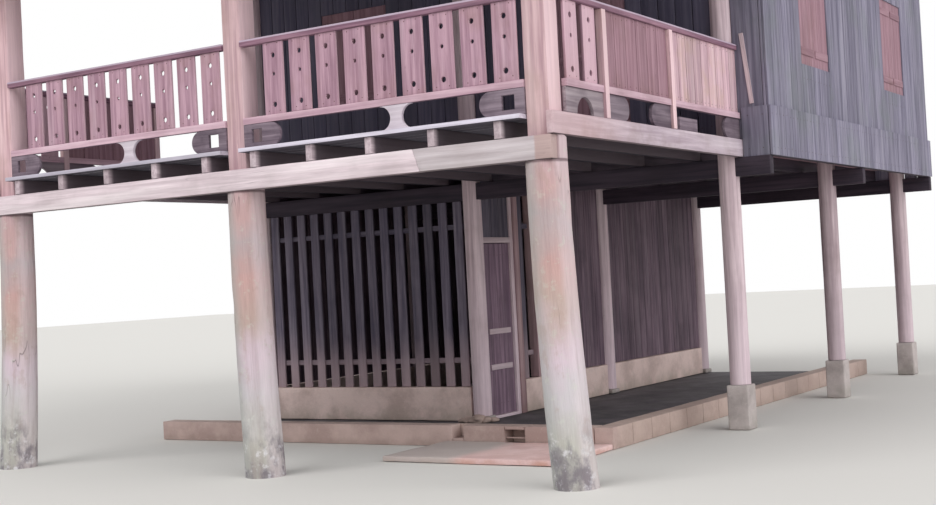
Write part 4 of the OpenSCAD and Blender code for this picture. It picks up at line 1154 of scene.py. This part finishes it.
verandahPieces = [laid(-bay + halfPost, -halfPost, -0.19, halfPost, joistTop, floorBoard, 71),
                  laid(leftX + halfPost, -bay - halfPost, -0.19, halfPost, joistTop, floorBoard, 72),
                  laid(floorLeft, floorSeam, halfPost, rows[1], joistTop, floorBoard, 73),
                  laid(floorSeam, halfPost, halfPost, rows[1], joistTop, floorBoard, 74)]
settle(joined("verandah_boards", verandahPieces), "pale_timber", ["verandah_floor"])
roomPieces = [laid(leftX - jetty, -bay, rows[1], rows[3], joistTop, roomBoard, 75),
              laid(-bay, jetty, rows[1], rows[3], joistTop, roomBoard, 76)]
settle(joined("room_boards", roomPieces), "grey_timber", ["body_floor"])
print("floors made")

# Walls of the rooms: upright boards outside, rails inside
wallBoard = {"finish": greyWood, "board": 0.19, "gap": 0.005, "thick": 0.024, "slack": 0.0, "tilt": 0.001,
             "wear": 0.003, "nails": (0.15, -0.15)}
wallRail = {"finish": greyWood, "edge": 0.003, "wear": 0.002, "step": 0.5, "bow": 0.0, "thick": 0.05,
            "height": 0.07}
windowLow, windowHigh = 3.55, 4.65
wallLength = rows[3] - rows[1]      # of the two side walls


def stretches(length, skips, holes, low, high):
    # The rectangles of a wall between its posts and round its openings
    cuts = {0.0, length}
    for item in list(skips) + list(holes):
        cuts.update((max(0.0, item[0]), min(length, item[1])))
    cuts = sorted(cuts)
    for a, b in zip(cuts, cuts[1:]):
        middle = (a + b) / 2
        if b - a < 0.02 or any(s[0] < middle < s[1] for s in skips):
            continue
        hole = next((h for h in holes if h[0] < middle < h[1]), None)
        if not hole:
            yield a, b, low, high
            continue
        if hole[2] - low > 0.02:
            yield a, b, low, hole[2]
        if high - hole[3] > 0.02:
            yield a, b, hole[3], high


def boardedWall(name, finish, node, x, y, degrees, length, skips, holes, seed, corners=(), extra=()):
    pieces, rails = list(extra), list(corners)
    for k, (a, b, low, high) in enumerate(stretches(length, skips, holes, floorTop, wallTop)):
        matrix = turned(x, y, 0.0, degrees) @ Matrix.Translation((a, 0, low))
        pieces.append(boards(name, matrix, dict(wallBoard, finish=finish), b - a, high - low, seed + k))
        for z in (low + 0.12, high - 0.19) + ((low + high) / 2,) * (high - low > 2.0):
            rails.append(((a, wallBoard["thick"], z), (b, wallRail["thick"], z + wallRail["height"])))
    rail = timberPiece(name, dict(wallRail, finish=finish, seed=seed), boxes=rails)
    pieces.append(placed(rail, turned(x, y, 0.0, degrees)))
    settle(joined(name, pieces), "grey_timber", [node])


# A batten leans on the wall beside the second post.
lean = timberPiece("lean", dict(wallRail, finish=roundWood, step=0.1),
                   boxes=[((-0.022, -0.014, 0), (0.022, 0.0, 0.68))])
placed(lean, turned(0.27, rows[1], 3.08) @ Matrix.Rotation(math.radians(-6), 4, "Y"))
# Studs close the corners of the side walls.
cornerStuds = [((a, 0.024, floorTop), (a + 0.05, 0.05, wallTop)) for a in (0.0, 5.95)]
halfOpening = 0.45
doorHigh = 4.75
postGaps = [(0.28 + bay * k, 0.48 + bay * k) for k in range(3)]     # where posts stand in a wall


def opening(middle, low=windowLow, high=windowHigh):
    return (middle - halfOpening, middle + halfOpening, low, high)


boardedWall("front_wall_boards", frontWallWood, "front_wall", -6.18, rows[1], 0, 6.56, postGaps,
            [opening(4.73, floorTop, doorHigh), opening(1.83)], 101, extra=[lean])
boardedWall("back_wall_boards", greyWood, "back_wall", 0.38, rows[3], 180, 6.56, postGaps,
            [opening(1.83), opening(4.73)], 131)
boardedWall("right_wall_boards", greyWood, "right_wall", jetty, rows[1], 90, wallLength, [],
            [opening(1.5), opening(4.5)], 161, cornerStuds)
boardedWall("left_wall_boards", greyWood, "left_wall", leftX - jetty, rows[3], -90, wallLength, [],
            [opening(1.5), opening(4.5)], 191, cornerStuds)
print("room walls made")

# Gables: upright boards cut to the rafters' slope
roofAngle, smallAngle = math.radians(35.0), math.radians(13.0)
slope, smallSlope = math.tan(roofAngle), math.tan(smallAngle)


def rafterOver(y):
    return 5.71 + slope * (min(y, 2 * rows[2] - y) - rows[1]) + 0.1 / math.cos(roofAngle)


gablePieces = []
gableBoard = {key: value for key, value in wallBoard.items() if key != "nails"}
for k, (x, degrees, start) in enumerate(((jetty, 90, rows[1]), (leftX - jetty, -90, rows[3]))):
    piece = boards("gable", turned(x, start, wallTop, degrees), gableBoard, wallLength,
                   rafterOver(rows[2]) - wallTop, 221 + k)
    bm = bmesh.new()
    bm.from_mesh(piece.data)
    for y, side in ((rows[1], -1), (rows[3], 1)):
        cutAway(bm, (0, y, rafterOver(y)), Vector((0, side * math.sin(roofAngle), math.cos(roofAngle))))
    bm.to_mesh(piece.data)
    bm.free()
    gablePieces.append(piece)
settle(joined("gable_boards", gablePieces), "grey_timber", ["gables"])

apronBoard = dict(wallBoard, thick=0.025, board=0.2, wear=0.003, nails=(0.07, -0.08))
apronHigh = 0.47
apronPlaces = [(jetty + 0.025, 3.575, 90, 6.05, 231), (leftX - jetty - 0.025, 9.625, -90, 6.05, 232),
               (0.162, 3.575, 0, 0.266, 235), (leftX - 0.428, 3.575, 0, 0.266, 236)]
apronPlaces += [(a, 9.625, 180, a - b, 241 + k)
                for k, (a, b) in enumerate(((0.428, 0.1), (-0.1, -2.8), (-3.0, -5.7), (-5.9, -6.228)))]
apronPieces = [boards("apron", turned(x, y, girderTop, degrees), apronBoard, width, apronHigh, seed)
               for x, y, degrees, width, seed in apronPlaces]
settle(joined("apron", apronPieces), "grey_timber", ["apron_boards"])
print("gables and aprons made")

# Door and shutter leaves of the rooms: boards with ledges nailed across them
leafLook = {"finish": plankWood, "board": 0.15, "gap": 0.002, "thick": 0.02, "slack": 0.0, "tilt": 0.0,
            "wear": 0.001}
ledgeLook = {"finish": plankWood, "edge": 0.003, "wear": 0.001, "step": 0.2, "bow": 0.0, "seed": 8}


def leafPair(name, x, y, degrees, low, high, seed):
    pieces, ledges = [], []
    for k, a in enumerate((-halfOpening, 0.002)):
        width = halfOpening - 0.002
        matrix = turned(x, y, 0.0, degrees)
        pieces.append(boards(name, matrix @ Matrix.Translation((a, 0.015, low)), leafLook, width,
                             high - low, seed + k))
        for z in (low + 0.1, high - 0.18) + ((low + high) / 2 - 0.04,) * (high - low > 1.5):
            ledges.append(((a + 0.02, 0.005, z), (a + width - 0.02, 0.0165, z + 0.08)))
    return pieces + [placed(timberPiece(name, dict(ledgeLook, seed=seed), boxes=ledges), matrix)]


settle(joined("upper_door_leaves", leafPair("door", -bay / 2, rows[1], 0, floorTop, doorHigh, 301)),
       "dark_timber", ["upper_door"])
shutters = leafPair("shutter", -1.5 * bay, rows[1], 0, windowLow, windowHigh, 305)
for k, x in enumerate((-bay / 2, -1.5 * bay)):
    shutters += leafPair("shutter", x, rows[3], 180, windowLow, windowHigh, 310 + 3 * k)
for k, y in enumerate((5.1, 8.1)):
    shutters += leafPair("shutter", jetty, y, 90, windowLow, windowHigh, 320 + 3 * k)
    shutters += leafPair("shutter", leftX - jetty, y, -90, windowLow, windowHigh, 330 + 3 * k)
settle(joined("shutters", shutters), "dark_timber", ["window_shutters"])

# Ground room: board walls, and the door that turns on its wooden pivots
lowerBoard = {"finish": lowerWood, "board": 0.175, "gap": 0.004, "thick": 0.04, "slack": 0.0, "tilt": 0.001,
              "wear": 0.004}
lowerPieces = []
for x, start, degrees, width, top, seed in (
        (-bay + 0.02, 4.867, 90, 1.633, joistTop, 401), (-bay + 0.02, 6.7, 90, 2.8, joistTop, 402),
        (leftX - 0.02, 6.5, -90, 2.8, joistTop, 411), (leftX - 0.02, 9.5, -90, 2.8, joistTop, 412),
        (-3.0, 9.62, 180, 2.7, girderLow, 421)):
    lowerPieces.append(boards("lower", turned(x, start, lowWallTop, degrees), lowerBoard, width,
                              top - lowWallTop, seed))
settle(joined("lower_boards", lowerPieces), "dark_timber", ["lower_board_walls"])

groundDoor = {"finish": doorWood, "board": 0.14, "gap": 0.003, "thick": 0.03, "slack": 0.0, "tilt": 0.0,
              "wear": 0.001, "nails": (0.12, -0.12), "start": 3.72, "wide": 0.56, "low": 0.085, "high": 1.85,
              "face": -2.885, "ledges": (0.57, 0.955), "ledge": 0.06, "ledgeThick": 0.018,
              "pivot": (-2.9, 3.745, 0.012)}
doorLedge = {"finish": roundWood, "edge": 0.003, "wear": 0.001, "step": 0.1, "bow": 0.0, "seed": 6}
leaf = boards("leaf", turned(groundDoor["face"], groundDoor["start"], groundDoor["low"], 90), groundDoor,
              groundDoor["wide"], groundDoor["high"], 431)
ledgeFront, ledgeBack = (groundDoor["start"] + 0.06, groundDoor["start"] + groundDoor["wide"] - 0.06)
ledges = timberPiece("ledge", doorLedge, boxes=[
    ((groundDoor["face"], ledgeFront, z),
     (groundDoor["face"] + groundDoor["ledgeThick"], ledgeBack, z + groundDoor["ledge"]))
    for z in groundDoor["ledges"]])


def rod(name, x, y, low, high, radius, finish):
    bm = bmesh.new()
    bmesh.ops.create_cone(bm, cap_ends=True, segments=24, radius1=radius, radius2=radius, depth=high - low)
    bmesh.ops.translate(bm, verts=bm.verts, vec=Vector((x, y, (low + high) / 2)) + origin)
    grainLayer = bm.verts.layers.float_vector.new("grain")
    for vert in bm.verts:
        vert[grainLayer] = Vector((vert.co.z, vert.co.x, vert.co.y))
    return closeMesh(bm, name, finish)


x, y, radius = groundDoor["pivot"]
pivots = [rod("pivot", x, y, low, high, radius, doorWood)
          for low, high in ((0.0653, 0.0853), (1.9347, 1.9577))]
settle(joined("ground_door_leaf", [leaf, ledges] + pivots), "dark_timber", ["lower_door"], "ground_door")
print("ground room made")


# Masonry
def masonryPiece(name, look, nodes=(), boxes=()):
    # Blocks and slabs, sliced on a grid and worn to lumps and pits
    bm = rounded(look, nodes, boxes)
    low = Vector([min(vert.co[k] for vert in bm.verts) for k in range(3)])
    high = Vector([max(vert.co[k] for vert in bm.verts) for k in range(3)])
    for k in range(3):
        count = int((high[k] - low[k]) / look["step"])
        for i in range(1, count + 1):
            point, normal = Vector(), Vector()
            point[k], normal[k] = low[k] + (high[k] - low[k]) * i / (count + 1), 1.0
            bmesh.ops.bisect_plane(bm, geom=bm.verts[:] + bm.edges[:] + bm.faces[:], dist=1e-6,
                                   plane_co=point, plane_no=normal)
    bm.normal_update()
    for vert in bm.verts:
        lump = 0.5 + 0.5 * noise.noise(vert.co * 3.0)
        pit = 0.5 + 0.5 * noise.noise(vert.co * 14.0)
        vert.co -= vert.normal * (look["wear"] * lump + look.get("pit", 0.002) * pit)
    return closeMesh(bm, name, look["finish"], 40.0)


def mortarLumps(name, spots, seed):
    # Lumps of mortar left at a post's foot: x, y and radius, sunk into the slab
    rng = random.Random(seed)
    bm = bmesh.new()
    for x, y, radius in spots:
        made = bmesh.ops.create_icosphere(bm, subdivisions=3, radius=radius)["verts"]
        shift = Vector((rng.uniform(0, 30), rng.uniform(0, 30), 0))
        for vert in made:
            vert.co *= 1.0 + 0.5 * noise.noise(vert.co * 18.0 + shift)
            vert.co = Vector((vert.co.x * 1.2, vert.co.y, vert.co.z * 0.7 + radius * 0.45))
            vert.co += Vector((x, y, slabTop)) + origin
            vert.co.z = max(vert.co.z, slabTop + 0.001)
    return closeMesh(bm, name, kerbCement, 60.0)


footings = masonryPiece("footing", {"finish": footStone, "edge": 0.014, "step": 0.05, "wear": 0.006},
                        ["post_footings"])
lumps = mortarLumps("lumps", [(-2.98, 3.43, 0.06), (-2.87, 3.42, 0.075), (-2.79, 3.46, 0.05),
                              (-3.06, 3.45, 0.045), (-2.74, 3.55, 0.045)], 7)
settle(joined("footing_blocks", [footings, lumps]), "pale_stone", ["post_footings"])
kerb = {"finish": kerbCement, "edge": 0.006, "step": 0.08, "wear": 0.005, "left": -6.0, "inner": -0.77,
        "right": -0.58, "front": 2.0, "back": 2.19, "end": 9.75, "top": 0.2, "blocks": 19}
slab = masonryPiece("slab", {"finish": slabConcrete, "edge": 0.012, "step": 0.16, "wear": 0.004},
                    boxes=[((kerb["left"], kerb["back"], 0.0), (kerb["inner"], kerb["end"], slabTop))])
step = masonryPiece("step", {"finish": stepCement, "edge": 0.014, "step": 0.08, "wear": 0.008, "pit": 0.004},
                    boxes=[((-2.33, 0.95, 0.0), (-0.58, 2.0, 0.06))])
settle(joined("floor_slab", [slab, step]), "concrete", ["plinth"])
settle(masonryPiece("low_walls", {"finish": dadoPlaster, "edge": 0.012, "step": 0.09, "wear": 0.006,
                                  "pit": 0.004}, ["dado_walls"]), "concrete", ["dado_walls"])


def frontKerb(x0, x1, low=0.0, high=kerb["top"], front=kerb["front"], back=kerb["back"]):
    return (x0, front, low), (x1, back, high)


# Solid lengths, a cell that lies open at its front and one hollow block with its web
kerbBoxes = [frontKerb(kerb["left"], -2.26), frontKerb(-2.26, -2.14, high=0.08),
             frontKerb(-2.26, -2.14, 0.08, front=2.15), frontKerb(-2.14, -1.69),
             frontKerb(-1.69, -1.48, high=0.03), frontKerb(-1.69, -1.48, 0.03, 0.163, 2.15),
             frontKerb(-1.69, -1.48, 0.163), frontKerb(-1.48, kerb["inner"]),
             frontKerb(-1.69, -1.48, 0.08, 0.1, 2.02, 2.05)]
kerbStep = (kerb["end"] - kerb["front"]) / kerb["blocks"]
kerbBoxes += [((kerb["inner"], kerb["front"] + kerbStep * k, 0.0),
               (kerb["right"], kerb["front"] + kerbStep * (k + 1), kerb["top"]))
              for k in range(kerb["blocks"])]
settle(masonryPiece("block_kerb", kerb, boxes=kerbBoxes), "faded_red_cement", ["plinth_kerb"])
print("masonry made")

# Roof tiles on battens
tile = {"pitch": 0.2, "width": 0.212, "length": 0.33, "show": 0.27, "thick": 0.011, "wave": 0.012,
        "steps": 10}


def tileMesh():
    # One pan and one roll; the next tile to the side lies over its edge.
    bm = bmesh.new()
    top, bottom = [], []
    for y in (0.0, tile["length"]):
        upper, lower = [], []
        for k in range(tile["steps"] + 1):
            x = tile["width"] * k / tile["steps"]
            z = tile["wave"] * math.sin(2 * math.pi * x / tile["pitch"]) - y * 0.045
            upper.append(bm.verts.new((x, y, z + tile["thick"])))
            lower.append(bm.verts.new((x, y, z)))
        top.append(upper)
        bottom.append(lower)
    for k in range(tile["steps"]):
        bm.faces.new((top[0][k], top[0][k + 1], top[1][k + 1], top[1][k]))
        bm.faces.new((bottom[0][k + 1], bottom[0][k], bottom[1][k], bottom[1][k + 1]))
        bm.faces.new((bottom[0][k], bottom[0][k + 1], top[0][k + 1], top[0][k]))
        bm.faces.new((top[1][k], top[1][k + 1], bottom[1][k + 1], bottom[1][k]))
    bm.faces.new((bottom[1][0], bottom[0][0], top[0][0], top[1][0]))
    bm.faces.new((bottom[0][-1], bottom[1][-1], top[1][-1], top[0][-1]))
    return closeMesh(bm, "pattern_tile")


def makeTileField():
    tree, wire, given = newTree("tile field", [
        ("Tile", "Object", None), ("Across", "Int", 30), ("Rows", "Int", 12), ("Pitch", "Float", 0.2),
        ("Show", "Float", 0.27), ("Slack", "Float", 0.004), ("Turn", "Float", 0.012), ("Seed", "Int", 1),
        ("Finish", "Material", None)])
    shape = wire.node("GeometryNodeObjectInfo", None, {"Object": given["Tile"]}, out="Geometry")
    wide = (given["Across"] - 1.0) * given["Pitch"]
    deep = (given["Rows"] - 1.0) * given["Show"]
    grid = wire.node("GeometryNodeMeshGrid", None, {"Size X": wide, "Size Y": deep,
                     "Vertices X": given["Across"], "Vertices Y": given["Rows"]})
    corner = wire.triple(wide * 0.5, deep * 0.5)
    grid = wire.node("GeometryNodeSetPosition", None, {"Geometry": grid, "Offset": corner})
    field = wire.node("GeometryNodeInstanceOnPoints", None, {"Points": grid, "Instance": shape})
    slack = (wire.triple(given["Slack"] * -0.6, given["Slack"] * -1.0),
             wire.triple(given["Slack"] * 0.6, given["Slack"]))
    turn = (wire.triple(z=given["Turn"] * -1.0), wire.triple(z=given["Turn"]))
    field = unsettled(wire, field, slack, turn, given["Seed"], 5.0)
    field = toned(wire, field, given["Seed"])
    real = wire.node("GeometryNodeRealizeInstances", None, {"Geometry": field})
    closeTree(wire, real, given["Finish"])
    return tree


tileField = makeTileField()
patternTile = tileMesh()
batten = {"finish": roofWood, "board": 0.27, "gap": 0.24, "thick": 0.024, "slack": 0.0, "tilt": 0.0,
          "wear": 0.001, "edge": 0.002}
roofLeft, roofRight = -6.68, 0.88


def tiledSlope(name, node, eave, top, lift, facing, inset, seed):
    # eave and top are (y, z) of the covering's underside; facing is 1 for a front slope, -1 for a back one
    run = math.hypot(top[0] - eave[0], top[1] - eave[1]) - inset
    angle = math.atan2(top[1] - eave[1], abs(top[0] - eave[0]))
    x0 = roofLeft if facing > 0 else roofRight
    lay = Matrix.Translation(Vector((x0, eave[0], eave[1])) + origin)
    lay = lay @ Matrix.Rotation(0.0 if facing > 0 else math.pi, 4, "Z") @ Matrix.Rotation(angle, 4, "X")
    lay = lay @ Matrix.Translation((0, inset, 0))     # tiles stand square to the slope, inside the eave
    across = int((roofRight - roofLeft - tile["width"]) / tile["pitch"]) + 1
    pitch = (roofRight - roofLeft - tile["width"]) / (across - 1)
    count = int((run - tile["length"]) / tile["show"]) + 2
    show = (run - tile["length"] - 0.01) / (count - 1)
    tiles = grown(tileField, name, Tile=patternTile, Across=across, Rows=count, Pitch=pitch, Show=show,
                  Slack=0.003, Turn=0.008, Seed=seed, Finish=clayTile)
    tiles.data.transform(lay @ Matrix.Translation((0, 0.005, lift)))
    finishMesh(tiles.data, None, 50.0)
    # battens: upright boards laid down, one for each row of tiles
    battens = boards(name, lay @ Matrix.Translation((0, 0.0, batten["thick"])) @ laidDown,
                     dict(batten, board=show, gap=show - 0.03), run, roofRight - roofLeft, seed + 1)
    return settle(joined(name, [tiles, battens]), "roof_tile", [node])


def mainUnder(y):
    return rafterOver(y) + 0.0003


def smallUnder(y):
    return 5.56 + smallSlope * (y - 3.475) + 0.09 / math.cos(smallAngle) + 0.0003


for name, node, under, eave, top, lift, facing, inset, seed in (
        ("front_tiles", "front_slope", mainUnder, 3.43, rows[2], 0.036, 1, 0.044, 501),
        ("back_tiles", "back_slope", mainUnder, 10.35, rows[2], 0.036, -1, 0.044, 503),
        ("verandah_tiles", "verandah_roof", smallUnder, -0.6, 3.5, 0.03, 1, 0.018, 505)):
    tiledSlope(name, node, (eave, under(eave)), (top, under(top)), lift, facing, inset, seed)
bpy.data.objects.remove(patternNail)
bpy.data.objects.remove(patternTile)
print("roof tiles made")

ridge = {"count": 25, "half": 0.185, "thick": 0.014, "length": 0.32, "crown": 0.05}


def ridgeTileMesh():
    # A folded tile with a rounded crown, along x
    section = []
    for k in range(13):
        y = -ridge["half"] + 2 * ridge["half"] * k / 12
        fall = slope * max(0.0, abs(y) - ridge["crown"]) + slope * min(abs(y), ridge["crown"]) ** 2 / (
            2 * ridge["crown"])
        section.append((y, -fall))
    bm = bmesh.new()
    rings = []
    for x, swell in ((0.0, 0.006), (0.03, 0.006), (0.035, 0.0), (ridge["length"], 0.0)):
        upper = [bm.verts.new((x, y, z + ridge["thick"] + swell)) for y, z in section]
        lower = [bm.verts.new((x, y, z)) for y, z in section]
        rings.append(upper + lower[::-1])
    for a, b in zip(rings, rings[1:]):
        for k in range(len(a)):
            n = (k + 1) % len(a)
            bm.faces.new((a[k], b[k], b[n], a[n]))
    half = len(section)
    for ring, turn in ((rings[0], 1), (rings[-1], -1)):
        for k in range(half - 1):
            quad = (ring[k], ring[k + 1], ring[2 * half - 2 - k], ring[2 * half - 1 - k])
            bm.faces.new(quad[::turn])
    bmesh.ops.recalc_face_normals(bm, faces=bm.faces)
    return closeMesh(bm, "pattern_ridge")


patternRidge = ridgeTileMesh()
ridgeStep = (roofRight - roofLeft - ridge["length"] - 0.02) / (ridge["count"] - 1)
ridgeRow = grown(pieceRow, "ridge_tiles", Piece=patternRidge, Count=ridge["count"], Pitch=ridgeStep,
                 Slack=0.003, Tilt=0.006, Wear=0.001, Seed=511, Finish=clayTile)
ridgeRow.data.transform(turned(roofLeft + 0.01, rows[2], mainUnder(rows[2]) + 0.0855 + 0.012))
finishMesh(ridgeRow.data, None, 50.0)
settle(ridgeRow, "roof_tile", ["ridge_cap"])
bpy.data.objects.remove(patternRidge)
print("ridge made")
